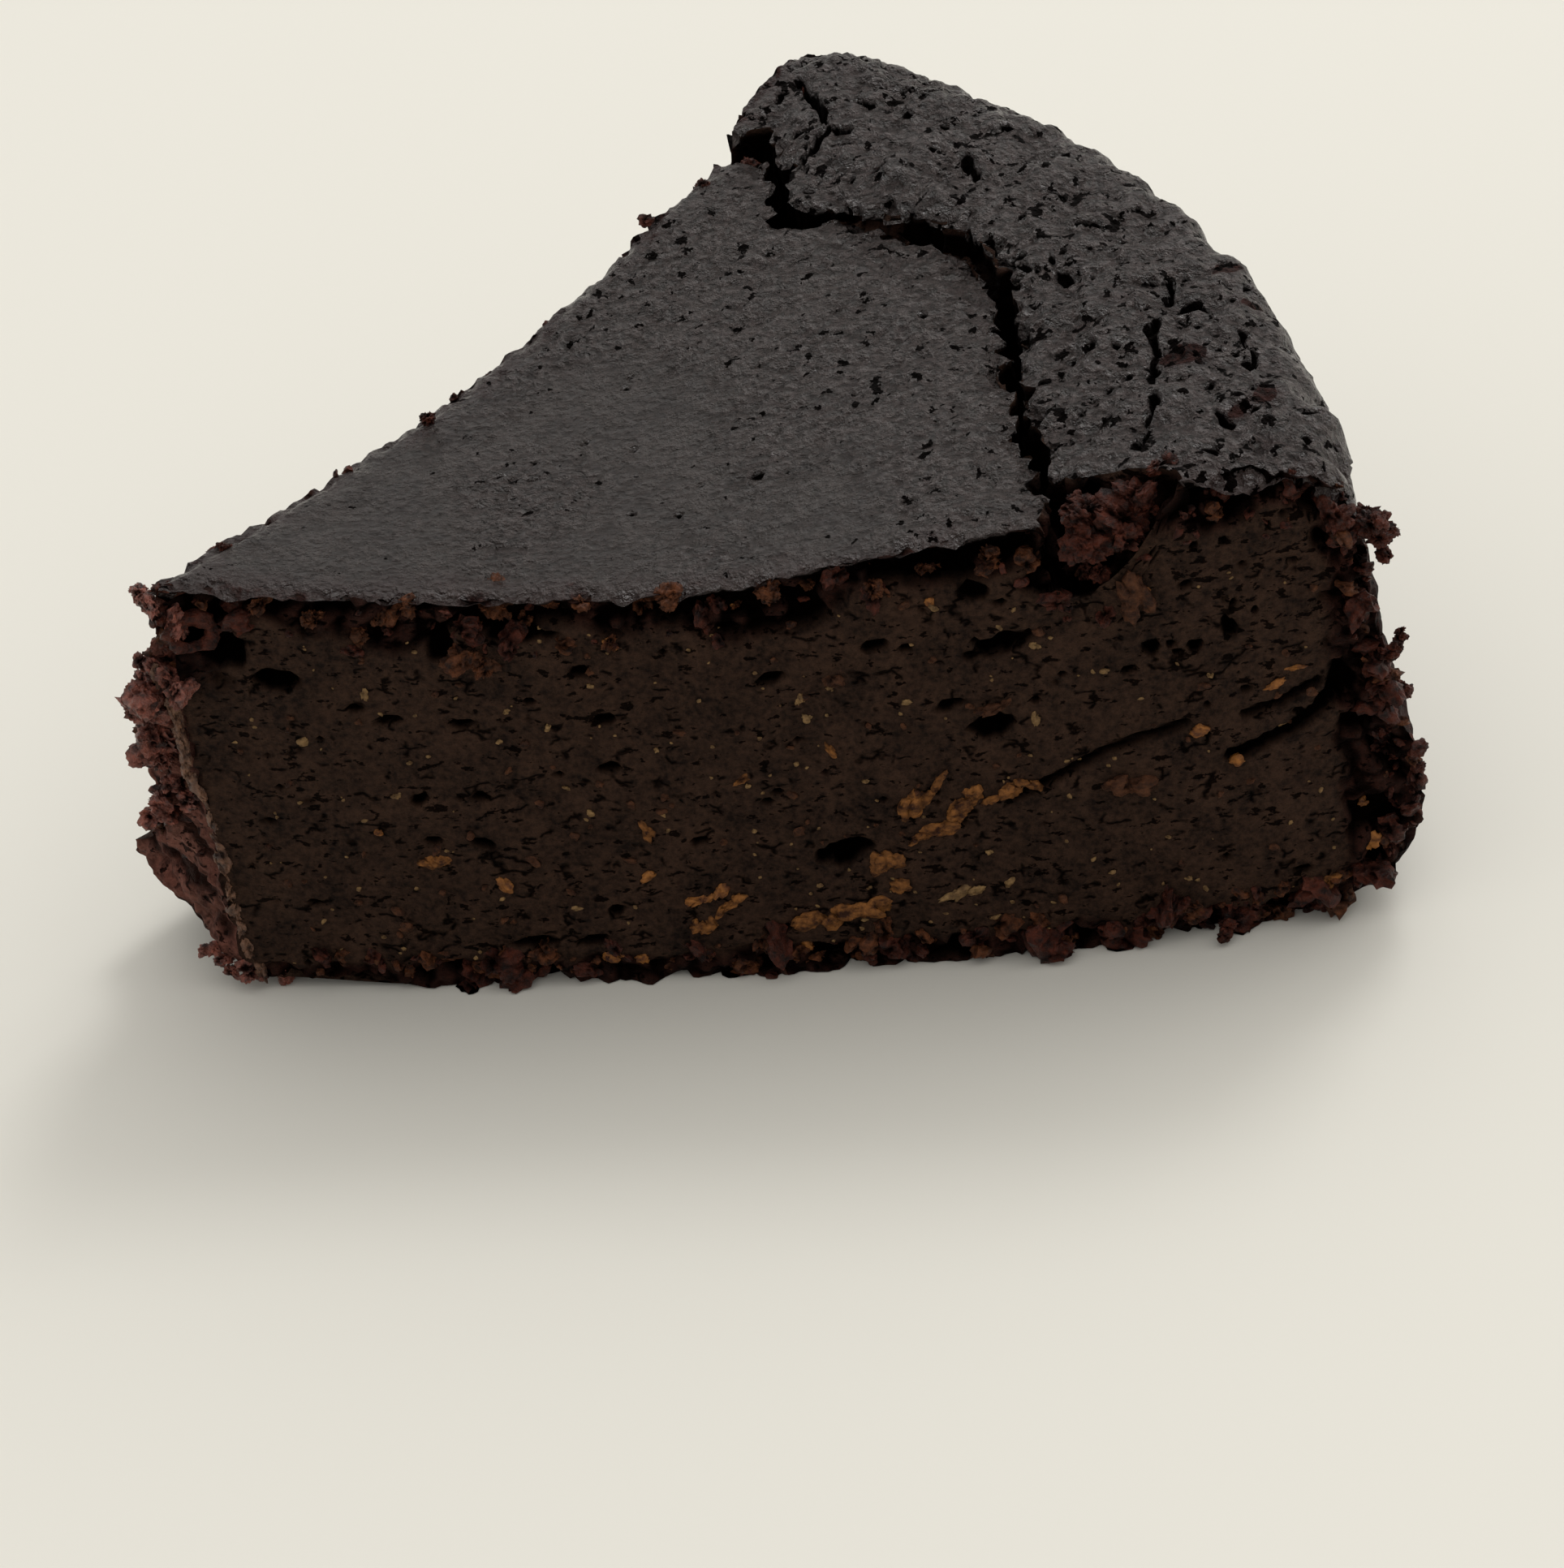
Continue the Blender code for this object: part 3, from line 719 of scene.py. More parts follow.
TIP_LUMPS = (
    ((-1.2, 1.6, 45.6), 1.3, 3), ((-2.6, 2.4, 46.0), 0.7, 2), ((0.6, 0.8, 44.2), 1.6, 3),
    ((1.0, 0.0, 37.2), 1.5, 3), ((-2.0, 1.4, 38.4), 1.3, 3), ((-3.4, 2.4, 36.8), 0.8, 2),
    ((-3.0, 2.4, 33.4), 1.7, 3), ((-3.4, 2.8, 30.0), 1.8, 3), ((-3.6, 2.8, 26.6), 1.7, 3),
    ((-3.2, 2.4, 23.4), 1.4, 3), ((-4.6, 3.4, 20.6), 1.3, 3), ((-6.6, 4.2, 18.4), 1.0, 2),
    ((-2.4, 0.9, 5.0), 0.9, 2), ((-2.0, 0.8, 3.2), 1.0, 2), ((-1.7, 0.8, 1.3), 0.7, 2),
    ((0.6, 0.3, 2.6), 0.9, 2), ((1.5, 0.2, 1.2), 0.7, 2), ((3.4, 0.0, 0.9), 1.0, 3),
)
FAR_LUMPS = (
    ((22.8, 30.2, 44.2), 0.9, 2), ((48.4, 65.4, 47.0), 0.9, 2), ((53.2, 67.8, 46.6), 1.2, 3),
    ((5.6, 7.2, 46.0), 0.9, 3), ((7.8, 9.4, 45.8), 0.8, 2), ((59.6, 79.4, 49.2), 1.0, 3),
)
# Lumps of crumb and fruit under the crust's near edge: (along, up, size).
BAND_LUMPS = (
    (9.0, 45.0, 0.9), (14.5, 43.5, 0.9), (18.1, 40.8, 0.8), (23.3, 44.2, 1.2), (27.4, 38.4, 1.3),
    (29.2, 37.9, 1.0), (31.2, 42.6, 1.4), (36.0, 42.6, 1.0), (41.3, 39.4, 0.7), (45.0, 42.6, 1.2),
    (47.5, 43.2, 1.3), (52.9, 40.9, 0.7), (60.0, 42.3, 0.9), (66.0, 43.3, 0.9), (71.0, 43.9, 0.9),
    (20.5, 43.2, 0.7), (33.6, 41.2, 0.7), (39.0, 43.2, 0.8), (56.4, 43.0, 1.0), (76.4, 44.6, 1.2),
)
# The light ridge that the knife smeared up the tip's near edge: (height, along).
RIDGE = ((1.4, 2.1), (5.6, 1.0), (9.9, 0.7), (14.0, 0.4), (19.4, 0.5), (24.0, -0.1), (27.0, -0.9),
         (31.0, -0.6), (35.0, -0.9), (37.5, -1.4))
RIDGE_CRUMBS = 40
# The curl of fruit skin at the tip.
LOOP_PLACE = (2.9, -0.1, 42.4)
LOOP_RADIUS, LOOP_THICKNESS = 1.7, 0.7


def smeared_ridge():
    """Ragged flat crumbs dragged up the tip's near edge, one running into the next."""
    mesh = heap_of_crumbs()
    foot, top = RIDGE[0][0], RIDGE[-1][0]
    for k in range(RIDGE_CRUMBS):
        z = foot + (top - foot) * (k + DRAWS.uniform(-0.5, 0.5)) / (RIDGE_CRUMBS - 1)
        place = Vector((along(RIDGE, z) + DRAWS.uniform(-0.15, 0.15), DRAWS.uniform(-0.1, 0.2), z))
        size = DRAWS.uniform(0.6, 1.3)
        lean = Matrix.Rotation(DRAWS.uniform(-0.4, 0.4), 4, "Y")
        crumb(mesh, place, size, 3, (DRAWS.uniform(0.25, 0.55), 0.35, 1.0), 1.0, lean, 0.7)
    return mesh


def fruit_loop():
    """The curl of fruit skin that hangs under the crust at the tip."""
    mesh = bmesh.new()
    ring = bmesh.ops.create_circle(mesh, segments=14, radius=LOOP_THICKNESS)["verts"]
    bmesh.ops.rotate(mesh, verts=ring, matrix=Matrix.Rotation(math.radians(90.0), 3, "X"))
    bmesh.ops.translate(mesh, verts=ring, vec=(LOOP_RADIUS, 0.0, 0.0))
    bmesh.ops.spin(mesh, geom=mesh.verts[:] + mesh.edges[:], cent=(0, 0, 0), axis=(0, 0, 1),
                   steps=36, angle=math.tau, use_merge=True)
    bmesh.ops.recalc_face_normals(mesh, faces=mesh.faces)
    mesh.normal_update()
    for vert in mesh.verts:
        vert.co += vert.normal * (0.8 * noise.noise(vert.co / 1.7) + 0.4 * noise.noise(vert.co / 0.7))
    flat = Matrix.Diagonal((1.15, 0.8, 0.8, 1.0))
    lean = Matrix.Rotation(math.radians(75.0), 4, "X") @ Matrix.Rotation(math.radians(12.0), 4, "Y")
    bmesh.ops.transform(mesh, matrix=Matrix.Translation(LOOP_PLACE) @ lean @ flat, verts=mesh.verts)
    return mesh


# Fruit and peel in the near cut: (along, up, half length, half height, tilt).
TAN_FLECKS = (
    (17.6, 35.0, 0.35, 0.6, 10), (30.6, 32.1, 0.35, 0.25, 0), (29.4, 28.8, 0.3, 0.2, 0),
    (34.3, 30.3, 0.25, 0.35, 0), (20.7, 26.9, 0.25, 0.2, 0), (18.8, 23.2, 0.35, 0.25, 30),
    (34.0, 9.2, 0.5, 0.3, 20), (35.0, 23.0, 0.3, 0.2, 0), (36.9, 20.3, 0.3, 0.3, 0),
    (38.9, 34.7, 0.3, 0.2, 0), (58.0, 31.8, 0.55, 0.35, 60), (58.4, 29.4, 0.4, 0.5, 0),
    (60.9, 32.8, 0.3, 0.2, 0), (67.7, 30.5, 0.55, 0.3, -20), (86.0, 31.9, 0.5, 0.2, 10),
    (80.1, 35.4, 0.4, 0.35, 0), (71.2, 40.7, 0.5, 0.3, -40), (79.4, 27.4, 0.35, 0.8, 0),
    (73.7, 12.5, 0.3, 0.25, 0), (75.2, 8.9, 0.5, 0.3, 50), (73.5, 5.1, 0.5, 0.2, 0),
    (70.9, 8.3, 1.5, 0.55, 12), (11.1, 29.8, 0.6, 0.5, -20), (13.2, 12.2, 0.25, 0.2, 0),
    (52.0, 22.4, 0.25, 0.2, 0), (63.0, 22.0, 0.3, 0.2, 0), (44.0, 27.0, 0.2, 0.2, 0),
    (57.4, 10.2, 0.25, 0.2, 0), (85.0, 9.0, 0.3, 0.2, 0), (90.5, 12.4, 0.25, 0.2, 0),
    (92.0, 7.2, 0.3, 0.2, 0), (95.6, 30.0, 0.3, 0.2, 0), (102.0, 12.0, 0.25, 0.2, 0),
)
ORANGE_FLECKS = (
    (16.3, 19.0, 0.45, 0.35, 0), (27.5, 12.3, 0.8, 0.6, -30), (94.2, 23.9, 0.75, 0.6, 45),
    (41.6, 12.6, 0.8, 0.4, 20), (45.8, 9.6, 1.0, 0.5, 10), (48.0, 10.5, 0.9, 0.5, 30),
    (36.9, 3.0, 1.0, 0.8, 10), (39.3, 2.7, 0.7, 0.5, -20), (55.1, 2.4, 0.9, 0.6, 0),
    (109.3, 7.6, 0.9, 0.8, 60), (109.0, 11.6, 0.6, 0.4, 40), (97.4, 19.8, 0.7, 0.4, 10),
    (41.3, 39.2, 0.7, 0.4, -30), (52.9, 40.9, 0.5, 0.4, 0), (101.5, 27.9, 0.9, 0.35, 20),
    (103.4, 29.3, 0.8, 0.3, 25), (71.0, 41.4, 0.4, 0.4, 0), (90.2, 40.3, 0.5, 0.5, 0),
)
PEEL_FLAKES = (
    (67.2, 19.0, 1.0, 1.7, -10), (69.4, 20.8, 1.3, 0.5, 60), (72.0, 18.8, 1.5, 1.2, 40),
    (69.8, 16.2, 1.9, 0.8, 25), (67.6, 15.0, 1.2, 0.5, 30), (76.4, 19.6, 0.9, 0.9, 0),
    (78.0, 20.2, 1.1, 0.5, -20), (74.4, 18.6, 0.8, 0.4, 30), (61.4, 7.1, 2.2, 1.1, 10),
    (63.9, 12.4, 1.1, 1.4, 20), (57.0, 6.0, 1.8, 1.1, 10), (45.9, 6.4, 1.1, 1.0, 0),
    (48.4, 8.6, 1.4, 0.6, 40), (41.9, 17.6, 0.5, 0.9, 10), (21.1, 15.0, 1.2, 0.8, 0),
    (64.6, 9.6, 0.9, 0.8, 0), (99.9, 2.4, 1.3, 0.9, 20), (104.5, 3.8, 1.6, 0.8, 30),
    (97.0, 2.0, 1.0, 0.5, 0), (51.6, 23.3, 0.8, 0.3, 20), (60.2, 25.8, 0.8, 0.3, -40),
)
BROWN_FRUIT = (
    (89.6, 39.6, 1.1, 2.4, -10), (27.4, 38.4, 1.5, 1.0, 20), (29.2, 37.9, 1.2, 0.8, -10),
    (31.2, 42.9, 1.2, 1.4, 0), (18.1, 40.8, 0.9, 0.6, 10), (87.2, 18.8, 1.6, 1.2, 0),
    (23.3, 46.3, 1.3, 0.9, 0), (61.2, 33.4, 0.8, 0.8, 0), (75.5, 29.2, 1.3, 0.5, 10),
)
# Small bits scattered over the near cut: (count, least size, most size, thickness, rough, rounds).
SCATTERED_TAN = (170, 0.09, 0.25, 0.1, 0.6, 1)
SCATTERED_BROWN = (90, 0.15, 0.45, 0.25, 0.9, 2)
# Rays at the near cut start this far in front of it.
BEFORE_CUT = -30.0
# A fleck whose half length is more than this is made of three bits.
LONG_FLECK = 0.9


def on_cut(surface, x, z):
    """Where a line drawn straight at the near cut meets it, or nothing."""
    return surface.ray_cast(Vector((x, BEFORE_CUT, z)), Vector((0.0, 1.0, 0.0)))[0]


def flecks(mesh, surface, rows, thick, rough, rounds=3):
    """Flat bits of fruit pressed into the near cut, each long one of three that overlap."""
    for x, z, half_length, half_height, tilt in rows:
        place = on_cut(surface, x, z)
        if place is None:
            continue
        turn = math.radians(tilt)
        pieces, share = (3, 0.7) if half_length > LONG_FLECK else (1, 1.0)
        for piece in range(pieces):
            lean = Matrix.Rotation(-math.radians(tilt + DRAWS.uniform(-25.0, 25.0)), 4, "Y")
            lean = lean @ Matrix.Rotation(DRAWS.uniform(-0.35, 0.35), 4, "Z")
            stretch = (half_length * share, thick, half_height * share)
            aside = (piece - 0.5 * (pieces - 1)) * 0.7 * half_length
            spot = place + Vector((aside * math.cos(turn), 0.0, aside * math.sin(turn)))
            spot.z += DRAWS.uniform(-0.3, 0.3) * half_height
            crumb(mesh, spot, 1.0, rounds, stretch, rough, lean, 0.35)


def random_flecks(count, low, high):
    """Small bits spread over the near cut, denser towards its foot."""
    rows = []
    for _ in range(count):
        size = DRAWS.uniform(low, high)
        up = 3.0 + 38.0 * DRAWS.random() ** 1.2
        rows.append((DRAWS.uniform(4.0, 106.0), up, size * DRAWS.uniform(1.0, 1.8), size,
                     DRAWS.uniform(-60, 60)))
    return rows


# Materials. Colours are linear, and the scale of a texture is in lumps to the metre.
# Painted shade: the black that shaded hollows, pores and cracks are darkened to, and the most of it that
# covers their colour.
PAINTED_SHADE_BLACK, PAINTED_SHADE_COVER = (0.0008, 0.0004, 0.0003), 0.94
STAINED_CRUST = (0.034, 0.008, 0.007)
# Numbers of a Mix node's sockets in its colour mode.
MIX_SHARE, MIX_FIRST, MIX_SECOND, MIX_RESULT = 0, 6, 7, 2


def node(tree, kind, **settings):
    """Add a node, setting its properties and, by name, its inputs."""
    made = tree.nodes.new(kind)
    for key, value in settings.items():
        if hasattr(made, key):
            setattr(made, key, value)
        else:
            made.inputs[key.replace("_", " ")].default_value = value
    return made


def ramp(tree, source, stops):
    """A colour ramp fed by a socket: stops are (place, colour)."""
    made = tree.nodes.new("ShaderNodeValToRGB")
    points = made.color_ramp.elements
    while len(points) < len(stops):
        points.new(0.5)
    for point, (place, colour) in zip(points, stops):
        point.position = place
        point.color = (*colour, 1.0)
    tree.links.new(source, made.inputs["Fac"])
    return made.outputs["Color"]


def maths(tree, operation, *values):
    """A maths node on sockets or numbers."""
    made = tree.nodes.new("ShaderNodeMath")
    made.operation = operation
    for socket, value in zip(made.inputs, values):
        if isinstance(value, (int, float)):
            socket.default_value = value
        else:
            tree.links.new(value, socket)
    return made.outputs[0]


def mixed(tree, share, first, second):
    """Mix two colours by a share."""
    made = tree.nodes.new("ShaderNodeMix")
    made.data_type = "RGBA"
    for number, value in ((MIX_SHARE, share), (MIX_FIRST, first), (MIX_SECOND, second)):
        if isinstance(value, tuple):
            made.inputs[number].default_value = (*value, 1.0)
        else:
            tree.links.new(value, made.inputs[number])
    return made.outputs[MIX_RESULT]


def crumb_group():
    """Shared texture of baked crumb: grain height, blotches, fine pores and crackled marks."""
    group = bpy.data.node_groups.new("crumb_texture", "ShaderNodeTree")
    group.interface.new_socket("Coarse", in_out="INPUT", socket_type="NodeSocketFloat")
    for name in ("Grain", "Blotch", "Pores", "Marks"):
        group.interface.new_socket(name, in_out="OUTPUT", socket_type="NodeSocketFloat")
    given, shown = group.nodes.new("NodeGroupInput"), group.nodes.new("NodeGroupOutput")
    where = group.nodes.new("ShaderNodeTexCoord").outputs["Object"]
    fine = node(group, "ShaderNodeTexNoise", Detail=6.0, Roughness=0.62)
    blotch = node(group, "ShaderNodeTexNoise", Scale=210.0, Detail=6.0, Roughness=0.68)
    wide = node(group, "ShaderNodeMapping")
    wide.inputs["Scale"].default_value = (0.65, 0.65, 1.3)
    pores = node(group, "ShaderNodeTexNoise", Scale=950.0, Detail=4.0, Roughness=0.6)
    # Marks are the edges of a wavered cell pattern, shown only where a slower noise is high.
    waver = node(group, "ShaderNodeTexNoise", Scale=620.0, Detail=2.0)
    shifted = node(group, "ShaderNodeVectorMath", operation="MULTIPLY_ADD")
    shifted.inputs[1].default_value = (0.0016, 0.0016, 0.0016)
    edges = node(group, "ShaderNodeTexVoronoi", feature="DISTANCE_TO_EDGE", Scale=420.0)
    thin = node(group, "ShaderNodeMapRange", From_Min=0.02, From_Max=0.10, To_Min=1.0, To_Max=0.0)
    where_open = node(group, "ShaderNodeTexNoise", Scale=430.0, Detail=2.0)
    for placed in (fine, blotch, wide, waver, where_open):
        group.links.new(where, placed.inputs["Vector"])
    group.links.new(wide.outputs["Vector"], pores.inputs["Vector"])
    group.links.new(waver.outputs["Color"], shifted.inputs[0])
    group.links.new(wide.outputs["Vector"], shifted.inputs[2])
    group.links.new(shifted.outputs["Vector"], edges.inputs["Vector"])
    group.links.new(edges.outputs["Distance"], thin.inputs["Value"])
    group.links.new(given.outputs["Coarse"], fine.inputs["Scale"])
    opened = between(group, where_open.outputs["Fac"], 0.56, 0.62)
    marks = maths(group, "MULTIPLY", thin.outputs["Result"], opened)
    for name, source in (("Grain", fine.outputs["Fac"]), ("Blotch", blotch.outputs["Fac"]),
                         ("Pores", pores.outputs["Fac"]), ("Marks", marks)):
        group.links.new(source, shown.inputs[name])
    return group


def texture(tree, group, coarse):
    """Use the shared crumb texture in a material: its outputs by name."""
    made = tree.nodes.new("ShaderNodeGroup")
    made.node_tree = group
    made.inputs["Coarse"].default_value = coarse
    return made.outputs


def new_material(name, roughness, specular):
    """A material and its tree and main shader."""
    made = bpy.data.materials.new(name)
    made.use_nodes = True
    shader = made.node_tree.nodes["Principled BSDF"]
    shader.inputs["Roughness"].default_value = roughness
    shader.inputs["Specular IOR Level"].default_value = specular
    return made, made.node_tree, shader


def bump(tree, shader, height, distance):
    """Feed a height into a shader as a bump."""
    made = tree.nodes.new("ShaderNodeBump")
    made.inputs["Distance"].default_value = distance
    tree.links.new(height, made.inputs["Height"])
    tree.links.new(made.outputs["Normal"], shader.inputs["Normal"])


def between(tree, value, low, high):
    """Ease a value from 0 at low to 1 at high, held at both ends."""
    made = node(tree, "ShaderNodeMapRange", From_Min=low, From_Max=high)
    tree.links.new(value, made.inputs["Value"])
    return made.outputs["Result"]


def attribute(tree, name):
    """Read a value stored on the mesh."""
    made = tree.nodes.new("ShaderNodeAttribute")
    made.attribute_name = name
    return made.outputs["Fac"]


def coloured(tree, shader, colour, painted_shade, bare=0.0):
    """Colour a surface: painted shade darkens marked places towards black and, through Metallic, lets
    them reflect only that black; bare crumb has little sheen.
    """
    shown = mixed(tree, maths(tree, "MULTIPLY", painted_shade, PAINTED_SHADE_COVER), colour, PAINTED_SHADE_BLACK)
    tree.links.new(shown, shader.inputs["Base Color"])
    tree.links.new(maths(tree, "MAXIMUM", painted_shade, bare), shader.inputs["Metallic"])


def laid_noise(tree, where, **settings):
    """A noise texture laid out at the given places."""
    made = node(tree, "ShaderNodeTexNoise", **settings)
    tree.links.new(where, made.inputs["Vector"])
    return made.outputs["Fac"]


def crust_material(group):
    """Baked crust: near black with a satin sheen, crinkled where it is rough, and there given a painted
    grey sheen.
    """
    made, tree, shader = new_material("crust", 0.45, 0.75)
    look = texture(tree, group, 1500.0)
    grain, blotch = look["Grain"], look["Blotch"]
    rough, red = attribute(tree, "rough"), attribute(tree, "red")
    where = tree.nodes.new("ShaderNodeTexCoord").outputs["Object"]
    crinkle = laid_noise(tree, where, Scale=1150.0, Detail=3.0, Roughness=0.6)
    wrinkle = laid_noise(tree, where, noise_type="RIDGED_MULTIFRACTAL", Scale=360.0,
                         Detail=2.0, Roughness=0.5)
    pocks = laid_noise(tree, where, Scale=560.0, Detail=3.0, Roughness=0.6)
    # Where the crust is reddest, the crumb below it is bare.
    bare = between(tree, maths(tree, "ADD", red, blotch), 1.15, 1.30)
    # Fine pocks painted black as the shade in small pits, more of them on rough and on bare places, and
    # ragged edges to the painted shade of the holes.
    limit = maths(tree, "MULTIPLY_ADD", rough, 0.15, 0.25)
    limit = maths(tree, "MULTIPLY_ADD", bare, 0.07, limit)
    dark = maths(tree, "LESS_THAN", pocks, limit)
    ragged = maths(tree, "MULTIPLY_ADD", crinkle, 0.7, attribute(tree, "painted_shade"))
    painted_shade = maths(tree, "MAXIMUM", between(tree, ragged, 0.60, 0.82), dark)
    # Colour.
    plain = ramp(tree, blotch, ((0.35, (0.011, 0.0056, 0.0034)), (0.65, (0.024, 0.0135, 0.0085))))
    # Painted sheen: on rough crust a grey base colour, lightest on the crinkles, stands in for the sheen
    # of light it reflects.
    sheen_grey = ramp(tree, crinkle, ((0.38, (0.020, 0.013, 0.011)), (0.62, (0.130, 0.101, 0.096))))
    sheen_greyed = mixed(tree, maths(tree, "MULTIPLY", rough, 0.7), plain, sheen_grey)
    tinted = mixed(tree, maths(tree, "MULTIPLY", red, 0.6), sheen_greyed, STAINED_CRUST)
    crumbly = ramp(tree, grain, ((0.38, (0.008, 0.003, 0.0022)), (0.60, (0.042, 0.012, 0.0088))))
    bared = mixed(tree, bare, tinted, crumbly)
    coloured(tree, shader, bared, painted_shade, maths(tree, "MULTIPLY", bare, 0.75))
    # Relief and shine.
    creases = maths(tree, "ADD", crinkle, maths(tree, "MULTIPLY", grain, 0.6))
    fine = maths(tree, "MULTIPLY", creases, maths(tree, "MULTIPLY_ADD", rough, 0.9, 1.05))
    folds = maths(tree, "MULTIPLY", wrinkle, maths(tree, "MULTIPLY", rough, 1.6))
    height = maths(tree, "SUBTRACT", maths(tree, "ADD", fine, folds), dark)
    bump(tree, shader, height, 0.0021)
    shine = maths(tree, "MULTIPLY_ADD", blotch, 0.50, 0.01)
    dull = maths(tree, "MAXIMUM", painted_shade, bare)
    tree.links.new(maths(tree, "MULTIPLY_ADD", dull, 0.6, shine), shader.inputs["Roughness"])
    return made


def cut_material(group, name, dark, light, red_colour, coarse, depth):
    """Crumb laid open: matte, fine grained, pored, and reddish where it crumbles."""
    made, tree, shader = new_material(name, 0.75, 0.10)
    look = texture(tree, group, coarse)
    grain, blotch, pores = look["Grain"], look["Blotch"], look["Pores"]
    # Colour before its holes.
    uneven = maths(tree, "ADD", maths(tree, "MULTIPLY", blotch, 0.45),
                   maths(tree, "MULTIPLY", grain, 0.55))
    plain = ramp(tree, uneven, ((0.38, dark), (0.60, light)))
    dark_red = tuple(0.25 * part for part in red_colour)
    reddish = ramp(tree, uneven, ((0.40, dark_red), (0.60, red_colour)))
    colour = mixed(tree, attribute(tree, "red"), plain, reddish)
    # Fine pores and torn marks, in patches, painted black as the shade in them, and ragged edges to the
    # painted shade of the modelled holes.
    limit = maths(tree, "MULTIPLY_ADD", attribute(tree, "rough"), 0.045, 0.305)
    limit = maths(tree, "MULTIPLY_ADD", blotch, 0.16, limit)
    small = maths(tree, "MULTIPLY", maths(tree, "LESS_THAN", pores, limit), 0.9)
    holes = maths(tree, "MAXIMUM", small, maths(tree, "MULTIPLY", look["Marks"], 0.95))
    ragged = maths(tree, "MULTIPLY_ADD", grain, 0.6, attribute(tree, "painted_shade"))
    painted_shade = maths(tree, "MAXIMUM", between(tree, ragged, 0.35, 0.95), holes)
    coloured(tree, shader, colour, painted_shade)
    height = maths(tree, "SUBTRACT", maths(tree, "ADD", grain, maths(tree, "MULTIPLY", pores, 0.8)),
                   maths(tree, "MULTIPLY", holes, 0.5))
    bump(tree, shader, height, depth)
    return made


def bit_material(group, name, low, high, roughness, coarse, depth, specular=0.25):
    """Loose crumbs and fruit: two colours blotched together."""
    made, tree, shader = new_material(name, roughness, specular)
    look = texture(tree, group, coarse)
    uneven = maths(tree, "ADD", maths(tree, "MULTIPLY", look["Pores"], 0.5),
                   maths(tree, "MULTIPLY", look["Grain"], 0.5))
    colour = ramp(tree, uneven, ((0.40, low), (0.60, high)))
    # Painted shade: the hollows of each crumb are darkened by the shade kept on its points.
    coloured(tree, shader, colour, attribute(tree, "painted_shade"))
    bump(tree, shader, look["Grain"], depth)
    return made


shared = crumb_group()
crust = crust_material(shared)
cut = cut_material(shared, "cut_crumb", (0.0085, 0.0038, 0.0022), (0.056, 0.0285, 0.0175),
                   (0.038, 0.0115, 0.0070), 1500.0, 0.0009)
side = cut_material(shared, "baked_side", (0.006, 0.0026, 0.002), (0.032, 0.0135, 0.0095),
                    (0.030, 0.0085, 0.006), 1300.0, 0.0009)
torn = cut_material(shared, "torn_crumb", (0.028, 0.011, 0.008), (0.240, 0.115, 0.085),
                    (0.220, 0.070, 0.050), 1000.0, 0.0011)
red_crumb = bit_material(shared, "red_crumb", (0.010, 0.0022, 0.0012), (0.094, 0.0195, 0.0085),
                         0.40, 1300.0, 0.0010)
brown_crumb = bit_material(shared, "brown_crumb", (0.014, 0.0042, 0.0018), (0.135, 0.042, 0.014),
                           0.45, 1300.0, 0.0009, 0.2)
warm_crumb = bit_material(shared, "warm_crumb", (0.030, 0.0080, 0.0050), (0.320, 0.094, 0.060),
                          0.3, 1100.0, 0.0010, 0.6)
pale_crumb = bit_material(shared, "pale_crumb", (0.035, 0.013, 0.007), (0.230, 0.110, 0.060),
                          0.3, 1100.0, 0.0010, 0.5)
tan_fruit = bit_material(shared, "tan_fruit", (0.08, 0.040, 0.013), (0.27, 0.160, 0.062),
                         0.5, 1300.0, 0.0003)
orange_fruit = bit_material(shared, "orange_fruit", (0.075, 0.022, 0.006), (0.34, 0.13, 0.026),
                            0.5, 1300.0, 0.0003)
peel = bit_material(shared, "peel", (0.032, 0.010, 0.004), (0.28, 0.110, 0.028),
                    0.55, 1300.0, 0.0005, 0.15)
brown_fruit = bit_material(shared, "brown_fruit", (0.022, 0.008, 0.004), (0.100, 0.037, 0.016),
                           0.55, 1300.0, 0.0006, 0.15)

body, spots = cake_body()
near_cut = BVHTree.FromBMesh(body)
slice_piece = finished(body, "cake_body", [crust, cut, side, torn], BODY_SHARP)
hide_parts("cake_slice")


def loose_crumbs(name, parts, material):
    """Crumbs that cling to the parts of the skin."""
    heap = heap_of_crumbs()
    for part, count, low, high, out in parts:
        clinging(heap, spots[part], count, low, high, out)
    finished(heap, name, [material], CRUMB_SHARP)


def placed_lumps(name, lumps, material):
    """Ragged lumps that stand out of the slice's outline."""
    heap = heap_of_crumbs()
    for place, size, count in lumps:
        cluster(heap, place, size, count)
    finished(heap, name, [material], CRUMB_SHARP)


def lumps_under_crust(name, material):
    """Lumps in the torn band under the crust's near edge."""
    heap = heap_of_crumbs()
    for x, z, size in BAND_LUMPS:
        cluster(heap, on_cut(near_cut, x, z), size, 2, 0.3)
    finished(heap, name, [material], CRUMB_SHARP)


def fruit_in_cut(name, rows, material, thick, scattered=None):
    """Fruit or peel in the near cut: drawn bits, and small ones scattered at random."""
    heap = heap_of_crumbs()
    flecks(heap, near_cut, rows, thick, 0.9)
    if scattered:
        count, low, high, small_thick, rough, rounds = scattered
        flecks(heap, near_cut, random_flecks(count, low, high), small_thick, rough, rounds)
    finished(heap, name, [material], FRUIT_SHARP)


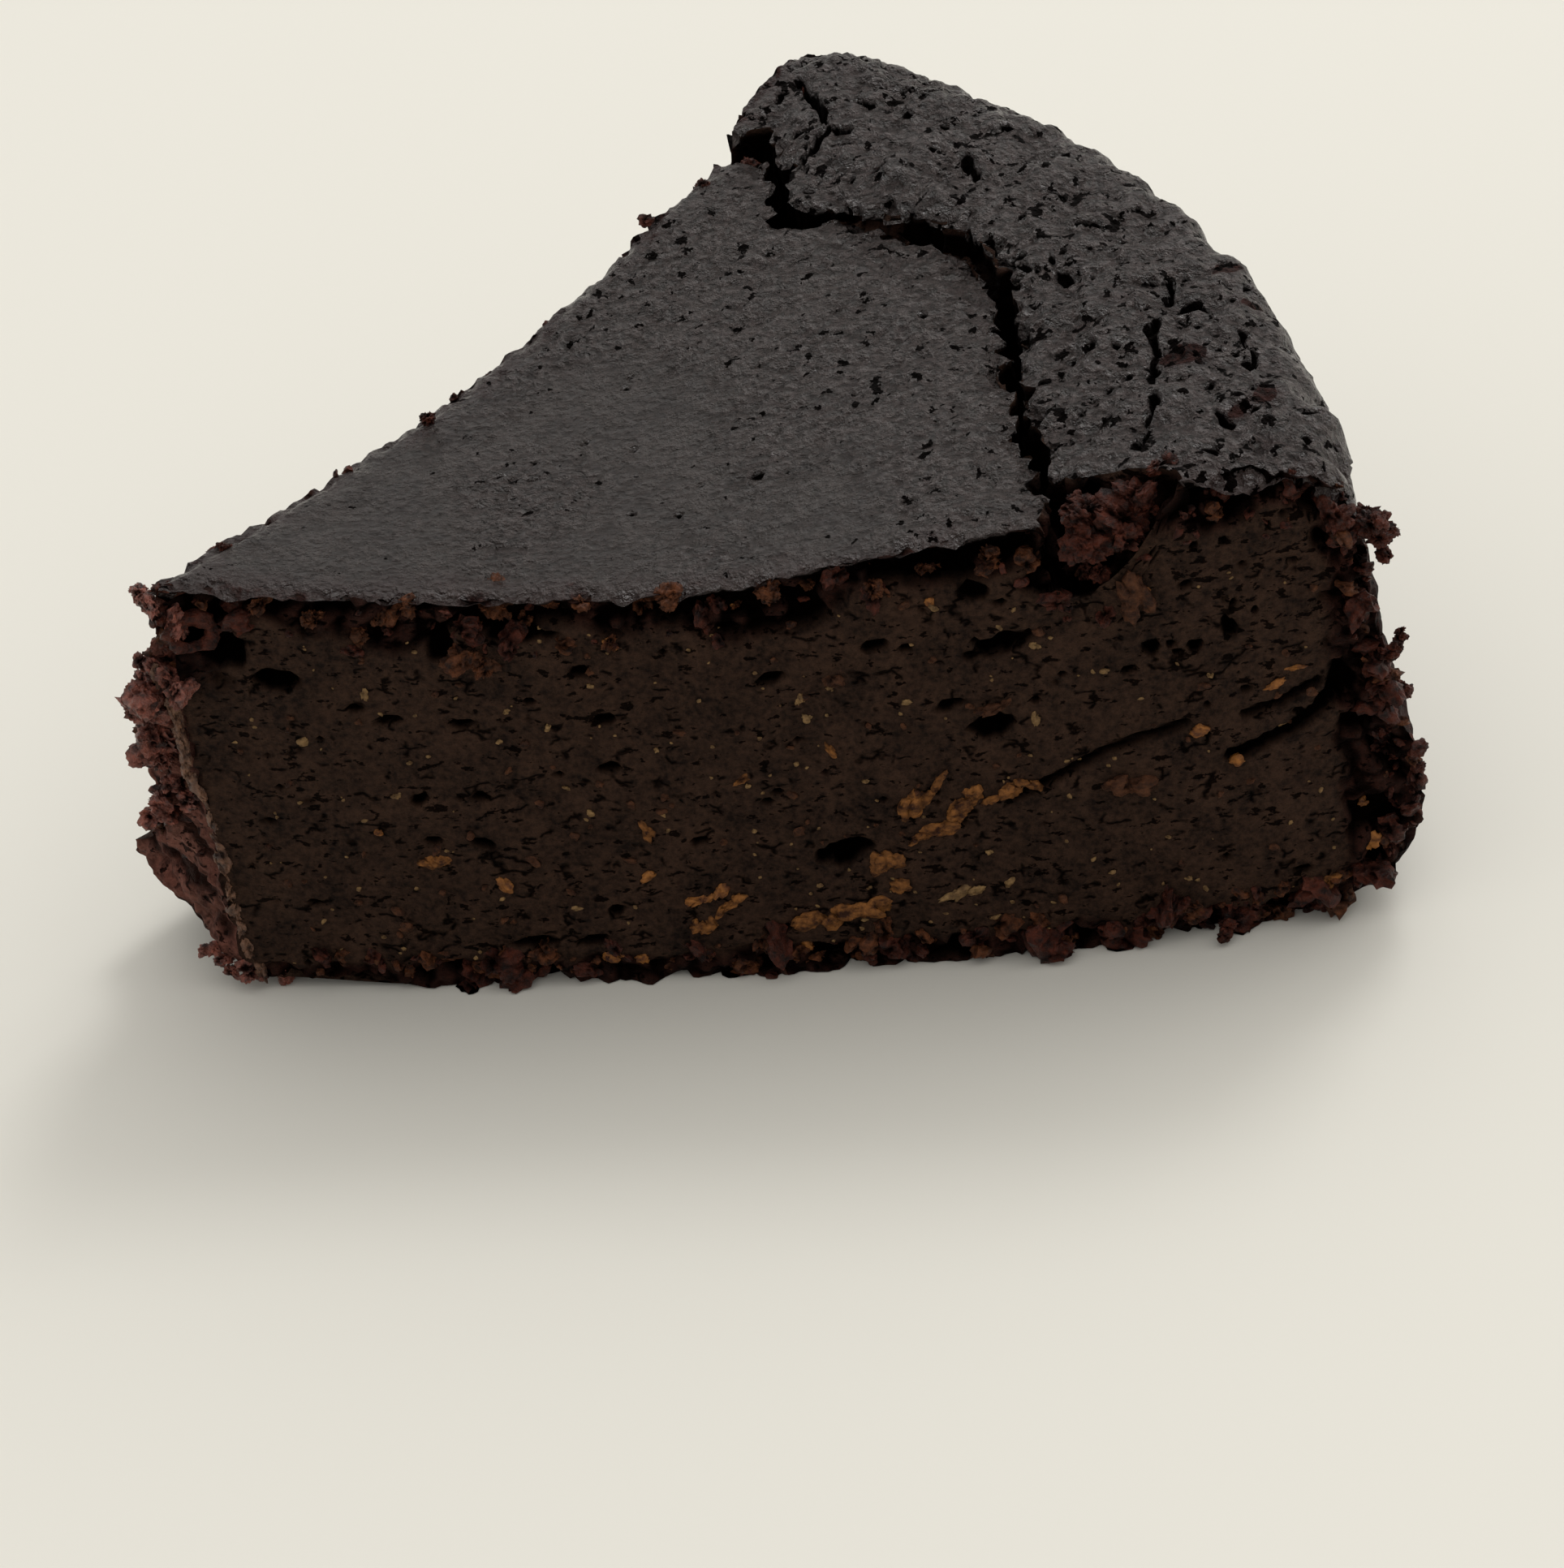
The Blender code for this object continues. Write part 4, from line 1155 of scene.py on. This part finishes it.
loose_crumbs("dark_crumbs", DARK_CRUMBS, red_crumb)
loose_crumbs("brown_crumbs", BROWN_CRUMBS, brown_crumb)
placed_lumps("break_lumps", BREAK_LUMPS, red_crumb)
placed_lumps("end_lumps", END_LUMPS, red_crumb)
placed_lumps("tip_lumps", TIP_LUMPS, warm_crumb)
placed_lumps("far_lumps", FAR_LUMPS, red_crumb)
lumps_under_crust("band_lumps", brown_crumb)
finished(smeared_ridge(), "smeared_ridge", [pale_crumb], CRUMB_SHARP)
finished(fruit_loop(), "fruit_loop", [red_crumb], FRUIT_SHARP)
fruit_in_cut("tan_flecks", TAN_FLECKS, tan_fruit, 0.2, SCATTERED_TAN)
fruit_in_cut("orange_flecks", ORANGE_FLECKS, orange_fruit, 0.3)
fruit_in_cut("peel_flakes", PEEL_FLAKES, peel, 0.35)
fruit_in_cut("brown_fruit_bits", BROWN_FRUIT, brown_fruit, 0.6, SCATTERED_BROWN)

# Floor, light and camera: places in metres, and the lens and its sensor in millimetres.
FLOOR_HALF, FLOOR_DROP = 3.0, 0.0001
FLOOR_COLOUR = (0.67, 0.653, 0.595, 1.0)
ROOM_COLOUR = (1.0, 0.985, 0.96, 1.0)
ROOM_GLOW = 0.52
LAMP_PLACE, LAMP_SIZE, LAMP_POWER = (0.45, 0.80, 1.25), 0.4, 5.5
AZIMUTH, ELEVATION, ROLL = math.radians(6.745), math.radians(36.40), math.radians(8.5)
TARGET = (Vector((54.69, 1.03, 19.0)) + TIP_PLACE) * MM
DISTANCE = 0.4593
SENSOR, LENS, CLIP_START = 36.0, 111.80, 0.01


def lay_floor():
    """A plain pale floor, just below the slice so that the two don't flicker."""
    mesh = bmesh.new()
    bmesh.ops.create_grid(mesh, x_segments=1, y_segments=1, size=FLOOR_HALF)
    bmesh.ops.translate(mesh, verts=mesh.verts, vec=(0.0, 0.0, -FLOOR_DROP))
    data = bpy.data.meshes.new("floor")
    mesh.to_mesh(data)
    mesh.free()
    floor = bpy.data.objects.new("floor", data)
    bpy.context.scene.collection.objects.link(floor)
    pale, _, shader = new_material("pale_floor", 0.7, 0.1)
    shader.inputs["Base Color"].default_value = FLOOR_COLOUR
    data.materials.append(pale)


def lobe(sky, around, direction, power, strength):
    """Extra light from one part of the room."""
    toward = node(sky, "ShaderNodeVectorMath", operation="DOT_PRODUCT")
    toward.inputs[1].default_value = Vector(direction).normalized()
    sky.links.new(around, toward.inputs[0])
    above = maths(sky, "MAXIMUM", toward.outputs["Value"], 0.0)
    return maths(sky, "MULTIPLY", maths(sky, "POWER", above, power), strength)


def light_room():
    """An even room with a bright ceiling and a window behind the slice to the right."""
    world = bpy.data.worlds.new("soft_room")
    world.use_nodes = True
    sky = world.node_tree
    around = sky.nodes.new("ShaderNodeTexCoord").outputs["Generated"]
    ceiling = lobe(sky, around, (0.0, 0.30, 0.954), 4.0, 1.05)
    window = lobe(sky, around, (0.75, 0.48, 0.56), 8.0, 1.9)
    glow = maths(sky, "ADD", maths(sky, "ADD", ceiling, window), ROOM_GLOW)
    sky.links.new(glow, sky.nodes["Background"].inputs["Strength"])
    sky.nodes["Background"].inputs["Color"].default_value = ROOM_COLOUR
    bpy.context.scene.world = world


def hang_lamp():
    """A square lamp above and behind the slice that faces it."""
    lamp = bpy.data.lights.new("overhead", "AREA")
    lamp.shape = "SQUARE"
    lamp.size = LAMP_SIZE
    lamp.energy = LAMP_POWER
    made = bpy.data.objects.new("overhead", lamp)
    made.location = LAMP_PLACE
    made.rotation_euler = (-Vector(LAMP_PLACE)).to_track_quat("-Z", "Y").to_euler()
    bpy.context.scene.collection.objects.link(made)


lay_floor()
light_room()
hang_lamp()

camera_data = bpy.data.cameras.new("camera")
camera_data.sensor_width = SENSOR
camera_data.lens = LENS
camera_data.clip_start = CLIP_START
camera = bpy.data.objects.new("camera", camera_data)
bpy.context.scene.collection.objects.link(camera)
back = Vector((math.sin(AZIMUTH) * math.cos(ELEVATION), -math.cos(AZIMUTH) * math.cos(ELEVATION),
               math.sin(ELEVATION)))
right = (-back).cross(Vector((0.0, 0.0, 1.0))).normalized()
up = right.cross(-back)
tilted_right = right * math.cos(ROLL) - up * math.sin(ROLL)
tilted_up = up * math.cos(ROLL) + right * math.sin(ROLL)
camera.matrix_world = Matrix.Translation(TARGET + back * DISTANCE) @ Matrix(
    (tilted_right, tilted_up, back)).transposed().to_4x4()
bpy.context.scene.camera = camera
bpy.context.scene.view_settings.view_transform = "Standard"
